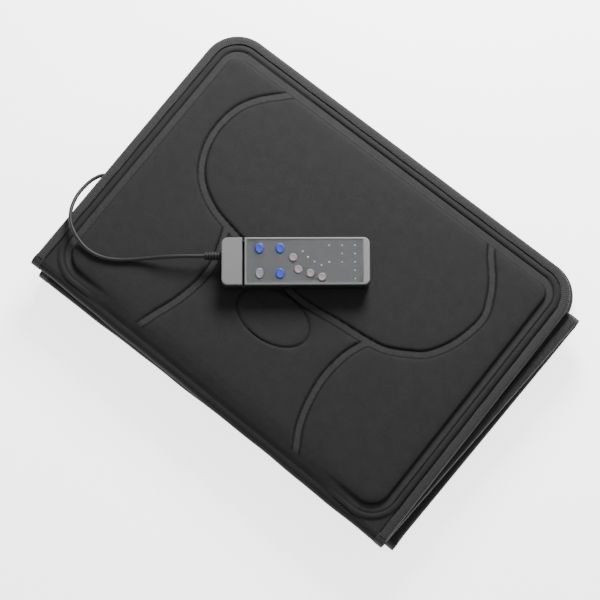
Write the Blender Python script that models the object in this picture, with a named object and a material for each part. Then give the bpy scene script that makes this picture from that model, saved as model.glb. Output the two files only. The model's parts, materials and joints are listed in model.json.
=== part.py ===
"""Folding heated massage mat with a corded handset.

Four padded panels are hinged by their covers and stacked like a concertina, and the
handset lies on the top panel. The mat is described flat: X runs across it, Y runs along
it from the free end of panel 1 towards panel 4, and each panel's back is at z = 0. Every
fold then turns the panels after it by half a turn about its own fold line.
"""
import math

import bmesh
import bpy
from mathutils import Matrix, Vector

MM = 0.001

# ---- mat: driving sizes ---------------------------------------------------------------
MAT_WIDTH = 530 * MM
PANEL_LENGTHS = [375 * MM, 344.5 * MM, 339.8 * MM, 377 * MM]
FOLD_SKEW = [math.radians(-1.4), math.radians(-0.75), math.radians(1.4)]
STACK_GAP = 0.6 * MM          # between two folded panels
FOLD_CLEARANCE = 0.4 * MM     # from a panel's end to its fold line
FREE_CORNER_RADIUS = 45 * MM
FIT_GAP = 0.3 * MM            # between two pieces that touch

# ---- layers of a panel ----------------------------------------------------------------
TAPE_THICKNESS = 0.9 * MM
BINDING_WIDTH = 10 * MM
BACK_COVER_THICKNESS = 1.0 * MM
FLANGE_THICKNESS = 5.7 * MM   # moulded border of the top cover
COVER_WALL = 3.6 * MM         # moulded top cover over the pad
PAD_INSET = 25 * MM           # from the mat's edge to the foot of the raised pad
PAD_FOLD_INSET = 12 * MM      # the same at a fold
PAD_SLOPE = 2 * MM
PAD_CROWN = 6 * MM
PAD_CROWN_DROP = 1.5 * MM
PAD_CORNER_RADIUS = 30 * MM
HEATER_THICKNESS = 0.5 * MM
HEATER_MARGIN = 30 * MM
HEATED_PANELS = (1, 2)
GUSSET_REACH = 9 * MM         # how far a fold's cover stands out from its fold line
GUSSET_THICKNESS = 2 * MM

BACK_Z = TAPE_THICKNESS + FIT_GAP
CORE_Z = BACK_Z + BACK_COVER_THICKNESS + FIT_GAP
FLANGE_TOP = CORE_Z + FLANGE_THICKNESS
BINDING_HEIGHT = FLANGE_TOP + FIT_GAP + TAPE_THICKNESS

# ---- vibration motors -----------------------------------------------------------------
MOTOR_RADIUS = 4.2 * MM
MOTOR_LENGTH = 15 * MM
MOTOR_BORE_RADIUS = 1.3 * MM
MOTOR_BORE_DEPTH = 3 * MM
WEIGHT_RADIUS = 4.0 * MM
WEIGHT_LENGTH = 4 * MM
WEIGHT_HUB_RADIUS = 1.6 * MM
SHAFT_RADIUS = 0.8 * MM
SHAFT_REACH = 2.4 * MM        # of the shaft, inside the motor's bore
MOTOR_SPACING = 230 * MM      # between the two motors of a panel
POCKET_CLEARANCE = 0.5 * MM
POCKET_ROOF = 0.6 * MM        # foam left over a motor
MOTOR_AXIS_Z = CORE_Z + FIT_GAP + MOTOR_RADIUS
POCKET_TOP = MOTOR_AXIS_Z + MOTOR_RADIUS + POCKET_CLEARANCE

# ---- panel height, from what a panel holds --------------------------------------------
CEILING_Z = POCKET_TOP + POCKET_ROOF + FIT_GAP + HEATER_THICKNESS + FIT_GAP
PANEL_THICKNESS = CEILING_Z + COVER_WALL

# ---- lead outlet and power inlet, in the left edge of panel 1 -------------------------
NOTCH_HEIGHT = 7.4 * MM
NOTCH_DEPTH = 20 * MM
LEAD_OUTLET_FROM_FOLD = 139 * MM
INLET_FROM_FOLD = 96 * MM
LEAD_DIAMETER = 4.5 * MM
GLAND_BLOCK = 12 * MM
GLAND_HEIGHT = 5.6 * MM
GLAND_NOSE_LENGTH = 8.5 * MM
GLAND_TIP_RADIUS = 2.7 * MM
GLAND_TURN = math.radians(180 + 42)   # the way its nose points, out of and along the edge
GLAND_NOTCH_WIDTH = 24 * MM
INLET_WIDTH = 9.5 * MM
INLET_HEIGHT = 5.8 * MM
INLET_LENGTH = 16 * MM
INLET_BORE_RADIUS = 2.2 * MM
INLET_BORE_DEPTH = 10 * MM
INLET_PIN_RADIUS = 0.6 * MM

# ---- handset --------------------------------------------------------------------------
HANDSET_LENGTH = 172 * MM
HANDSET_WIDTH = 57 * MM
HANDSET_HEIGHT = 24 * MM
HANDSET_AT = (-16 * MM, 183 * MM)     # from the mat's centre line and from fold 1
HANDSET_TURN = math.radians(38.4)
HANDSET_CORNER = 7 * MM
SHELL_WALL = 2 * MM
END_CAP_LENGTH = 24 * MM
END_CAP_GAP = 2.6 * MM
TOP_PLATE = 3 * MM
WINDOW_DEPTH = 1.3 * MM
WINDOW_MARGIN = 2.2 * MM
WINDOW_END_STRIP = 7.3 * MM
WINDOW_CORNER = 1.5 * MM
BOARD_THICKNESS = 1.6 * MM
BOARD_FROM_FACE = 12.4 * MM   # from the face's left end to the board
BOARD_TO_END = 13 * MM        # from the board and the light guide to the handset's right end
BOARD_MARGIN = 3.5 * MM       # from the board to the side walls
RIB_FROM_BOARD_END = 10 * MM
GUIDE_THICKNESS = 1.8 * MM
GUIDE_MARGIN = 2.5 * MM
LED_RADIUS = 0.9 * MM
LED_CLEARANCE = 0.3 * MM
BUTTON_CLEARANCE = 0.4 * MM
BUTTON_FLANGE = 1.0 * MM
BUTTON_FLANGE_THICKNESS = 1.4 * MM
BUTTON_TRAVEL = 1.0 * MM
BUTTON_PROUD = 1.0 * MM
BUTTON_EDGE = 0.5 * MM
OVAL_BUTTON = (4.9 * MM, 6.2 * MM)    # half sizes
ROUND_BUTTON = (4.8 * MM, 4.8 * MM)
SCREW_FROM_END = 7.2 * MM     # from either end of the handset's face
SCREW_HEAD_RADIUS = 2.8 * MM
SCREW_HEAD_THICKNESS = 0.8 * MM
SCREW_RADIUS = 1.2 * MM
SCREW_LENGTH = 12 * MM
BOSS_RADIUS = 3.2 * MM
STACK_PLAY = 1.0 * MM         # spare height over the board
SPLIT_Z = (HANDSET_HEIGHT - TOP_PLATE - GUIDE_THICKNESS - BUTTON_FLANGE_THICKNESS - BUTTON_TRAVEL
           - BOARD_THICKNESS - STACK_PLAY - 4 * FIT_GAP)
RELIEF_OFFSET = 9 * MM        # of the lead's entry, from the handset's centre line
RELIEF_LENGTH = 20 * MM
RELIEF_RADIUS = 5.2 * MM
RELIEF_TIP_RADIUS = 3.4 * MM
RELIEF_RIBS = 5
RELIEF_NECK_RADIUS = 3.4 * MM
RELIEF_NECK_LENGTH = 4 * MM

# ---- control layout, stretched with the handset's face --------------------------------
# The places are millimetres from the middle of the face's left end, on a face of the size
# LAYOUT_LENGTH by LAYOUT_WIDTH.
LAYOUT_LENGTH = 145.4
LAYOUT_WIDTH = 57
OVAL_BUTTONS = [
    ("program_button", (17.4, 15)),
    ("intensity_button", (41.4, 15)),
    ("power_button", (17.4, -15)),
    ("heat_button", (41.4, -15)),
]
ROUND_BUTTONS = [
    ("zone_1_button", (56.4, 4)),
    ("zone_2_button", (62.4, -10.5)),
    ("zone_3_button", (76.4, -15)),
    ("zone_4_button", (89.9, -19.5)),
]
ZONE_LEDS = [(67.7, 11.8), (73.8, 5), (81.4, -0.6), (89.4, -4.8)]
GUIDE_EDGE = [(63, 6), (71, -1), (84, -6.5), (97, -9)]     # of the light guide, by the buttons
LED_COLUMNS = [(98.4, (19, -1)), (113.4, (19, 9, -1)), (128.4, (19, 9, -1, -11, -21))]

# Lead from the outlet's tip to the strain relief's tip, measured from the outlet's tip.
LEAD_ROUTE = [
    (-4.2, -4.0, 0.1), (-7.4, -9.5, 0.5), (-9.8, -17, 1.5), (-10.8, -26, 3), (-10.8, -35, 5),
    (-9.4, -45, 7.6), (-6, -55.5, 10.4), (-1, -65, 12.7), (6, -73, 14.5), (15.5, -79.5, 15.8),
    (26, -84, 16.1), (38, -86.8, 16), (50.5, -86.8, 16), (63, -83.6, 15.9), (75, -77.6, 15.9),
    (86.5, -69, 16), (97.5, -59.6, 17), (108, -50.6, 19.2), (118.5, -41.8, 22), (129.2, -33.2, 24.5),
    (138.6, -25.7, 25.8), (148, -18.3, 26.3),
]

ARC_STEPS = 6
SQUARE_CORNER = 0.4 * MM


# ---- materials ------------------------------------------------------------------------
def material(name, colour, roughness, metallic=0.0):
    mat = bpy.data.materials.get(name)
    if mat is None:
        mat = bpy.data.materials.new(name)
        mat.use_nodes = True
        shader = mat.node_tree.nodes["Principled BSDF"]
        shader.inputs["Base Color"].default_value = (*colour, 1.0)
        shader.inputs["Roughness"].default_value = roughness
        shader.inputs["Metallic"].default_value = metallic
    return mat


def cover_fabric():
    return material("cover_fabric", (0.04, 0.04, 0.042), 0.85)


def back_fabric():
    return material("back_fabric", (0.03, 0.03, 0.032), 0.9)


def binding_tape():
    return material("binding_tape", (0.05, 0.05, 0.052), 0.8)


def foam():
    return material("foam", (0.25, 0.25, 0.26), 0.95)


def heater_film():
    return material("heater_film", (0.35, 0.12, 0.05), 0.6)


def steel():
    return material("steel", (0.6, 0.6, 0.62), 0.35, 1.0)


def tungsten():
    return material("tungsten", (0.45, 0.42, 0.38), 0.4, 1.0)


def black_plastic():
    return material("black_plastic", (0.02, 0.02, 0.022), 0.5)


def grey_plastic():
    return material("grey_plastic", (0.24, 0.24, 0.24), 0.35)


def clear_plastic():
    return material("clear_plastic", (0.5, 0.5, 0.5), 0.1)


def board_green():
    return material("board_green", (0.05, 0.2, 0.08), 0.5)


def led_white():
    return material("led_white", (0.8, 0.8, 0.78), 0.4)


def blue_plastic():
    return material("blue_plastic", (0.07, 0.12, 0.58), 0.35)


def lilac_plastic():
    return material("lilac_plastic", (0.36, 0.33, 0.4), 0.35)


def white_plastic():
    return material("white_plastic", (0.58, 0.54, 0.55), 0.35)


def lead_rubber():
    return material("lead_rubber", (0.05, 0.05, 0.05), 0.55)


# ---- outlines -------------------------------------------------------------------------
def offset_corners(corners, insets):
    """Move each side of a polygon inwards; insets[i] belongs to the side after corner i."""
    lines = []
    for i, start in enumerate(corners):
        along = (corners[(i + 1) % len(corners)] - start).normalized()
        inward = Vector((-along.y, along.x))
        lines.append((start + inward * insets[i], along))
    moved = []
    for i, (point, along) in enumerate(lines):
        before, before_along = lines[i - 1]
        cross = before_along.x * along.y - before_along.y * along.x
        gap = point - before
        moved.append(before + before_along * ((gap.x * along.y - gap.y * along.x) / cross))
    return moved


def rounded_outline(corners, radii, steps=ARC_STEPS):
    """Round each corner of a convex outline; every corner gives steps + 1 points."""
    points = []
    for i, corner in enumerate(corners):
        back = (corners[i - 1] - corner).normalized()
        ahead = (corners[(i + 1) % len(corners)] - corner).normalized()
        half = back.angle(ahead) / 2
        radius = max(radii[i], SQUARE_CORNER)
        centre = corner + (back + ahead).normalized() * (radius / math.sin(half))
        first = corner + back * (radius / math.tan(half)) - centre
        sweep = math.pi - 2 * half
        for step in range(steps + 1):
            turn = Matrix.Rotation(sweep * step / steps, 2)
            points.append(centre + turn @ first)
    return points


def box_corners(x0, x1, y0, y1):
    return [Vector((x0, y0)), Vector((x1, y0)), Vector((x1, y1)), Vector((x0, y1))]


def rounded_box(x0, x1, y0, y1, radii, steps=ARC_STEPS):
    return rounded_outline(box_corners(x0, x1, y0, y1), radii, steps)


def ellipse(half_x, half_y, centre=(0, 0), steps=16):
    return [Vector((centre[0] + half_x * math.cos(math.tau * i / steps),
                    centre[1] + half_y * math.sin(math.tau * i / steps))) for i in range(steps)]


# ---- solids ---------------------------------------------------------------------------
def add_object(name, mesh_builder, mat, parent=None):
    mesh = bpy.data.meshes.new(name)
    mesh_builder.normal_update()
    mesh_builder.to_mesh(mesh)
    mesh_builder.free()
    mesh.set_sharp_from_angle(angle=math.radians(35))
    obj = bpy.data.objects.new(name, mesh)
    bpy.context.collection.objects.link(obj)
    obj.data.materials.append(mat)
    obj.parent = parent
    return obj


def loft(name, rings, mat, parent=None):
    """Closed solid through rings of (outline, z); the first and last rings are capped."""
    bm = bmesh.new()
    loops = []
    for outline, z in rings:
        loops.append([bm.verts.new((p.x, p.y, z)) for p in outline])
    for low, high in zip(loops, loops[1:]):
        for i in range(len(low)):
            j = (i + 1) % len(low)
            bm.faces.new((low[i], low[j], high[j], high[i]))
    bm.faces.new(list(reversed(loops[0])))
    bm.faces.new(loops[-1])
    bmesh.ops.recalc_face_normals(bm, faces=bm.faces)
    return add_object(name, bm, mat, parent)


def prism(name, outline, z0, z1, mat, parent=None):
    return loft(name, [(outline, z0), (outline, z1)], mat, parent)


def swept(name, paths, mat, parent=None):
    """Closed solid whose section point k runs along paths[k]; both ends are capped."""
    bm = bmesh.new()
    rails = [[bm.verts.new(p) for p in path] for path in paths]
    for k, rail in enumerate(rails):
        beside = rails[(k + 1) % len(rails)]
        for i in range(len(rail) - 1):
            bm.faces.new((rail[i], rail[i + 1], beside[i + 1], beside[i]))
    bm.faces.new([rail[0] for rail in reversed(rails)])
    bm.faces.new([rail[-1] for rail in rails])
    bmesh.ops.recalc_face_normals(bm, faces=bm.faces)
    return add_object(name, bm, mat, parent)


def turned(name, profile, mat, parent=None, steps=14):
    """Solid of revolution about X from (x, radius) points that start and end on the axis."""
    bm = bmesh.new()
    verts = [bm.verts.new((x, 0, radius)) for x, radius in profile]
    edges = [bm.edges.new(pair) for pair in zip(verts, verts[1:])]
    bmesh.ops.spin(bm, geom=verts + edges, cent=(0, 0, 0), axis=(1, 0, 0),
                   angle=math.tau, steps=steps)
    bmesh.ops.remove_doubles(bm, verts=bm.verts, dist=0.00001)
    bmesh.ops.recalc_face_normals(bm, faces=bm.faces)
    return add_object(name, bm, mat, parent)


def combine(obj, tools, operation):
    """Apply a Boolean with each tool, then remove the tools."""
    bpy.context.view_layer.update()
    for tool in tools:
        step = obj.modifiers.new("combine", "BOOLEAN")
        step.operation = operation
        step.solver = "EXACT"
        step.object = tool
        graph = bpy.context.evaluated_depsgraph_get()
        result = bpy.data.meshes.new_from_object(obj.evaluated_get(graph))
        obj.modifiers.clear()
        obj.data = result
        bpy.data.objects.remove(tool)
    return obj


def empty(name, parent=None, place=None):
    obj = bpy.data.objects.new(name, None)
    bpy.context.collection.objects.link(obj)
    obj.empty_display_size = 0.03
    obj.parent = parent
    if place is not None:
        obj.matrix_local = place
    return obj


# ---- panels ---------------------------------------------------------------------------
def fold_distance(fold):
    """Distance along the flat mat from panel 1's free end to a fold, on the centre line."""
    return sum(PANEL_LENGTHS[:fold])


def panel_corners(panel):
    """Corners of a panel in its own frame, from its lower left one, counter-clockwise."""
    start = fold_distance(panel - 1)
    end = fold_distance(panel)
    origin_y = 0 if panel == 1 else -start
    half = MAT_WIDTH / 2
    upper = math.tan(FOLD_SKEW[panel - 2]) if panel > 1 else 0
    lower = math.tan(FOLD_SKEW[panel - 1]) if panel < 4 else 0
    corners = [(-half, -end - lower * half), (half, -end + lower * half),
               (half, -start + upper * half), (-half, -start - upper * half)]
    return [Vector((x, y - origin_y)) for x, y in corners]


def panel_origin_z(panel):
    """Height of a panel's frame above its back: frames sit on the fold before the panel."""
    if panel in (2, 4):
        return -STACK_GAP / 2
    if panel == 3:
        return PANEL_THICKNESS + STACK_GAP / 2
    return 0


def panel_outline(panel, edge_inset, fold_inset, free_radius=FREE_CORNER_RADIUS, fold_radius=0.0):
    """Outline of one layer: insets from the mat's edge and from the fold lines."""
    lower = fold_inset if panel < 4 else edge_inset
    upper = fold_inset if panel > 1 else edge_inset
    corners = offset_corners(panel_corners(panel), [lower, edge_inset, upper, edge_inset])
    free = max(free_radius - edge_inset, fold_radius)
    low_radius = fold_radius if panel < 4 else free
    high_radius = fold_radius if panel > 1 else free
    return rounded_outline(corners, [low_radius, low_radius, high_radius, high_radius])


def shifted(rings, panel):
    """Rings measured from a panel's back, moved to its frame."""
    base = panel_origin_z(panel)
    return [(outline, z - base) for outline, z in rings]


def top_cover(panel, frame):
    rim = panel_outline(panel, TAPE_THICKNESS + FIT_GAP, FOLD_CLEARANCE)
    foot = panel_outline(panel, PAD_INSET, PAD_FOLD_INSET, fold_radius=PAD_CORNER_RADIUS)
    shoulder = panel_outline(panel, PAD_INSET + PAD_SLOPE, PAD_FOLD_INSET + PAD_SLOPE,
                             fold_radius=PAD_CORNER_RADIUS - PAD_SLOPE)
    crown = panel_outline(panel, PAD_INSET + PAD_CROWN, PAD_FOLD_INSET + PAD_CROWN,
                          fold_radius=PAD_CORNER_RADIUS - PAD_CROWN)
    inner = cavity_outline(panel, 0)
    rings = [(inner, CEILING_Z), (inner, CORE_Z), (rim, CORE_Z), (rim, FLANGE_TOP), (foot, FLANGE_TOP),
             (shoulder, PANEL_THICKNESS - PAD_CROWN_DROP), (crown, PANEL_THICKNESS)]
    return loft(f"panel_{panel}_top_cover", shifted(rings, panel), cover_fabric(), frame)


def cavity_outline(panel, clearance):
    """Inside of the top cover's pad, or what fits in it with a clearance."""
    inset = PAD_INSET + PAD_SLOPE + COVER_WALL + clearance
    fold_inset = PAD_FOLD_INSET + PAD_SLOPE + COVER_WALL + clearance
    radius = PAD_CORNER_RADIUS - PAD_SLOPE - COVER_WALL - clearance
    return panel_outline(panel, inset, fold_inset, fold_radius=radius)


def core_top(panel):
    if panel in HEATED_PANELS:
        return CEILING_Z - FIT_GAP - HEATER_THICKNESS - FIT_GAP
    return CEILING_Z - FIT_GAP


def motor_places(panel):
    """Centre of each motor's pocket, in the panel's frame."""
    y = sum(c.y for c in panel_corners(panel)) / 4
    return [Vector((side * MOTOR_SPACING / 2, y)) for side in (-1, 1)]


def pocket_half_length():
    return (MOTOR_LENGTH + FIT_GAP + WEIGHT_LENGTH) / 2 + POCKET_CLEARANCE


def foam_core(panel, frame):
    rings = [(cavity_outline(panel, FIT_GAP), CORE_Z), (cavity_outline(panel, FIT_GAP), core_top(panel))]
    core = loft(f"panel_{panel}_foam_core", shifted(rings, panel), foam(), frame)
    half_width = MOTOR_RADIUS + POCKET_CLEARANCE
    tools = []
    for place in motor_places(panel):
        outline = rounded_box(place.x - pocket_half_length(), place.x + pocket_half_length(),
                              place.y - half_width, place.y + half_width, [0] * 4, 1)
        rings = [(outline, CORE_Z - PANEL_THICKNESS), (outline, POCKET_TOP)]
        tools.append(loft("pocket", shifted(rings, panel), foam(), frame))
    return combine(core, tools, "DIFFERENCE")


def back_cover(panel, frame):
    outline = panel_outline(panel, TAPE_THICKNESS + FIT_GAP, FOLD_CLEARANCE)
    rings = [(outline, BACK_Z), (outline, BACK_Z + BACK_COVER_THICKNESS)]
    return loft(f"panel_{panel}_back_cover", shifted(rings, panel), back_fabric(), frame)


def heater(panel, frame):
    outline = cavity_outline(panel, HEATER_MARGIN)
    low = core_top(panel) + FIT_GAP
    rings = [(outline, low), (outline, low + HEATER_THICKNESS)]
    return loft(f"panel_{panel}_heater", shifted(rings, panel), heater_film(), frame)


def binding_section():
    """Points of the folded tape: distance in from the mat's edge, and height."""
    top = BINDING_HEIGHT
    tape = TAPE_THICKNESS
    return [(0, 0), (0, top), (BINDING_WIDTH, top), (BINDING_WIDTH, top - tape),
            (tape, top - tape), (tape, tape), (BINDING_WIDTH, tape), (BINDING_WIDTH, 0)]


def binding(name, panel, part_of_outline, frame):
    """Tape along part of a panel's outline, given as a slice of its points."""
    base = panel_origin_z(panel)
    paths = []
    for inset, z in binding_section():
        outline = panel_outline(panel, inset, FOLD_CLEARANCE)
        paths.append([(p.x, p.y, z - base) for p in part_of_outline(outline)])
    return swept(name, paths, binding_tape(), frame)


def corner_points(corner):
    """Slice of an outline's points that belongs to one corner."""
    return slice(corner * (ARC_STEPS + 1), (corner + 1) * (ARC_STEPS + 1))


def square_end(points):
    """The two points of a square corner are one corner; keep the one on the long side."""
    return [points[0]], [points[-1]]


def bindings(panel, frame):
    right_low = corner_points(1)
    right_high = corner_points(2)
    left_high = corner_points(3)
    left_low = corner_points(0)
    if panel == 1:
        def run(o):
            return square_end(o[right_low])[1] + o[right_high] + o[left_high] + square_end(o[left_low])[0]
        return [binding("panel_1_binding", panel, run, frame)]
    if panel == 4:
        def run(o):
            return square_end(o[left_high])[1] + o[left_low] + o[right_low] + square_end(o[right_high])[0]
        return [binding("panel_4_binding", panel, run, frame)]

    def right(o):
        return square_end(o[right_low])[1] + square_end(o[right_high])[0]

    def left(o):
        return square_end(o[left_high])[1] + square_end(o[left_low])[0]
    return [binding(f"panel_{panel}_binding_right", panel, right, frame),
            binding(f"panel_{panel}_binding_left", panel, left, frame)]


def fold_gusset(fold, frame):
    """Half-tube of cover fabric round a closed fold, in the frame of the panel before it."""
    outer = PANEL_THICKNESS + STACK_GAP / 2 - BACK_Z if fold == 2 else FLANGE_TOP + STACK_GAP / 2
    axis_z = PANEL_THICKNESS + STACK_GAP / 2 if fold == 2 else -STACK_GAP / 2
    low_left, low_right = panel_corners(fold)[:2]
    along = (low_right - low_left).normalized()
    outward = Vector((along.y, -along.x))
    left = low_left + along * (TAPE_THICKNESS + FIT_GAP)
    right = low_right - along * (TAPE_THICKNESS + FIT_GAP)
    paths = []
    steps = 10
    section = [(GUSSET_REACH, outer, math.pi * i / steps) for i in range(steps + 1)]
    section += [(GUSSET_REACH - GUSSET_THICKNESS, outer - GUSSET_THICKNESS, math.pi * (1 - i / steps))
                for i in range(steps + 1)]
    for reach, height, turn in section:
        out = reach * math.sin(turn)
        z = axis_z + height * math.cos(turn) - panel_origin_z(fold)
        paths.append([(*(end + outward * out), z) for end in (left, right)])
    return swept(f"fold_{fold}_gusset", paths, cover_fabric(), frame)


def fold_matrix(fold):
    """Place of a panel's frame in the frame of the panel before it, when folded."""
    step = PANEL_LENGTHS[0] if fold == 1 else PANEL_LENGTHS[fold - 1]
    height = (PANEL_THICKNESS + STACK_GAP / 2) if fold == 2 else -STACK_GAP / 2
    skew = FOLD_SKEW[fold - 1]
    place = Matrix.Translation((0, -step, height - panel_origin_z(fold)))
    return place @ Matrix.Rotation(math.pi, 4, (math.cos(skew), math.sin(skew), 0))


# ---- motors ---------------------------------------------------------------------------
def motor_profile():
    half = MOTOR_LENGTH / 2
    return [(-half, 0), (-half, MOTOR_RADIUS - 0.4 * MM), (-half + 0.4 * MM, MOTOR_RADIUS),
            (half - 0.4 * MM, MOTOR_RADIUS), (half, MOTOR_RADIUS - 0.4 * MM), (half, MOTOR_BORE_RADIUS),
            (half - MOTOR_BORE_DEPTH, MOTOR_BORE_RADIUS), (half - MOTOR_BORE_DEPTH, 0)]


def eccentric_weight(name, mat, parent, down):
    """Half disc on a hub and a shaft, about X; its heavy side points along down."""
    length = WEIGHT_LENGTH
    hub_profile = [(0, 0), (0, WEIGHT_HUB_RADIUS), (length, WEIGHT_HUB_RADIUS), (length, 0)]
    hub = turned(name, hub_profile, mat, parent)
    shaft = turned("shaft", [(-SHAFT_REACH - FIT_GAP, 0), (-SHAFT_REACH - FIT_GAP, SHAFT_RADIUS),
                             (length / 2, SHAFT_RADIUS), (length / 2, 0)], mat, parent, 12)
    steps = 10
    start = math.pi if down < 0 else 0
    arc = [Vector((WEIGHT_RADIUS * math.cos(start + math.pi * i / steps),
                   WEIGHT_RADIUS * math.sin(start + math.pi * i / steps))) for i in range(steps + 1)]
    disc = prism("disc", arc, 0, length, mat, parent)
    disc.data.transform(Matrix(((0, 0, 1, 0), (1, 0, 0, 0), (0, 1, 0, 0), (0, 0, 0, 1))))
    return combine(hub, [disc, shaft], "UNION")


def motors(panel, frame):
    base = panel_origin_z(panel)
    down = -1 if panel in (1, 3) else 1
    for side, place in zip(("left", "right"), motor_places(panel)):
        start = place.x - pocket_half_length() + POCKET_CLEARANCE
        motor = turned(f"panel_{panel}_motor_{side}", motor_profile(), steel(), frame)
        motor.location = (start + MOTOR_LENGTH / 2, place.y, MOTOR_AXIS_Z - base)
        weight = eccentric_weight(f"panel_{panel}_weight_{side}", tungsten(), frame, down)
        weight.location = (start + MOTOR_LENGTH + FIT_GAP, place.y, MOTOR_AXIS_Z - base)


# ---- lead outlet and power inlet ------------------------------------------------------
def edge_notch(distance_from_fold, width, frame):
    """Cutter for a notch in the left edge of panel 1, open at the side and at the back."""
    y = -PANEL_LENGTHS[0] + distance_from_fold
    left = -MAT_WIDTH / 2
    outline = rounded_box(left - NOTCH_DEPTH, left + NOTCH_DEPTH, y - width / 2, y + width / 2, [0] * 4, 1)
    return prism("notch", outline, -NOTCH_HEIGHT, NOTCH_HEIGHT, black_plastic(), frame)


def cut_notches(pieces, frame):
    for piece in pieces:
        tools = [edge_notch(LEAD_OUTLET_FROM_FOLD, GLAND_NOTCH_WIDTH, frame),
                 edge_notch(INLET_FROM_FOLD, INLET_WIDTH + 2 * FIT_GAP, frame)]
        combine(piece, tools, "DIFFERENCE")


def gland_height():
    return FIT_GAP + GLAND_HEIGHT / 2 + TAPE_THICKNESS


def lead_gland(frame):
    """Block in the notch with a tapered nose that turns the lead along the mat's edge."""
    y = -PANEL_LENGTHS[0] + LEAD_OUTLET_FROM_FOLD + GLAND_NOTCH_WIDTH / 2 - GLAND_BLOCK / 2 - FIT_GAP
    x = -MAT_WIDTH / 2 + NOTCH_DEPTH - GLAND_BLOCK / 2 - FIT_GAP
    half = GLAND_BLOCK / 2
    outline = rounded_box(-half, half, -half, half, [1.5 * MM] * 4, 3)
    block = prism("lead_gland", outline, -GLAND_HEIGHT / 2, GLAND_HEIGHT / 2, black_plastic(), frame)
    nose_start = half - 2 * MM
    nose_end = half + GLAND_NOSE_LENGTH
    nose_radius = GLAND_HEIGHT / 2 - 0.1 * MM
    nose = turned("nose", [(0, 0), (0, nose_radius), (nose_start, nose_radius),
                           (nose_end, GLAND_TIP_RADIUS), (nose_end, 0)], black_plastic(), frame)
    nose.rotation_euler = (0, 0, GLAND_TURN)
    block.location = (x, y, gland_height())
    nose.location = (x, y, gland_height())
    combine(block, [nose], "UNION")
    direction = Vector((math.cos(GLAND_TURN), math.sin(GLAND_TURN), 0))
    return Vector((x, y, gland_height())) + direction * (nose_end + FIT_GAP)


def dc_inlet(frame):
    """Round power socket with a centre pin, open towards the mat's edge."""
    y = -PANEL_LENGTHS[0] + INLET_FROM_FOLD
    left = -MAT_WIDTH / 2 + TAPE_THICKNESS
    z = TAPE_THICKNESS + FIT_GAP + INLET_HEIGHT / 2
    outline = rounded_box(0, INLET_LENGTH, -INLET_WIDTH / 2, INLET_WIDTH / 2, [0.5 * MM] * 4, 2)
    body = prism("dc_inlet", outline, -INLET_HEIGHT / 2, INLET_HEIGHT / 2, black_plastic(), frame)
    bore = turned("bore", [(-INLET_LENGTH, 0), (-INLET_LENGTH, INLET_BORE_RADIUS),
                           (INLET_BORE_DEPTH, INLET_BORE_RADIUS), (INLET_BORE_DEPTH, 0)], steel(), frame)
    pin = turned("pin", [(1 * MM, 0), (1 * MM, INLET_PIN_RADIUS),
                         (INLET_BORE_DEPTH + 1 * MM, INLET_PIN_RADIUS), (INLET_BORE_DEPTH + 1 * MM, 0)],
                 steel(), frame, 10)
    for obj in (body, bore, pin):
        obj.location = (left, y, z)
    combine(body, [bore], "DIFFERENCE")
    combine(body, [pin], "UNION")


# ---- handset --------------------------------------------------------------------------
def face_start():
    return -HANDSET_LENGTH / 2 + END_CAP_LENGTH + END_CAP_GAP


def on_face(place):
    """A place of the control layout on the handset's face."""
    stretch = (HANDSET_LENGTH / 2 - face_start()) / LAYOUT_LENGTH
    return Vector((face_start() + place[0] * stretch, place[1] * HANDSET_WIDTH / LAYOUT_WIDTH))


def screw_places():
    return (face_start() + SCREW_FROM_END, HANDSET_LENGTH / 2 - SCREW_FROM_END)


def board_start():
    return face_start() + BOARD_FROM_FACE


def handset_outline(x0, x1, inset, round_left, round_right):
    left = HANDSET_CORNER if round_left else 0
    right = HANDSET_CORNER if round_right else 0
    half = HANDSET_WIDTH / 2 - inset
    radii = [max(r - inset, 0) for r in (left, right, right, left)]
    return rounded_box(x0 + inset, x1 - inset, -half, half, radii)


def upper_half(name, x0, x1, round_left, round_right, mat, frame):
    """Upper part of the handset's case, open below, with a softened top edge."""
    outer = handset_outline(x0, x1, 0, round_left, round_right)
    inner = handset_outline(x0, x1, SHELL_WALL, round_left, round_right)
    soft = handset_outline(x0, x1, 1 * MM, round_left, round_right)
    low = SPLIT_Z + FIT_GAP
    rings = [(inner, HANDSET_HEIGHT - TOP_PLATE), (inner, low), (outer, low),
             (outer, HANDSET_HEIGHT - 1 * MM), (soft, HANDSET_HEIGHT)]
    return loft(name, rings, mat, frame)


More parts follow.
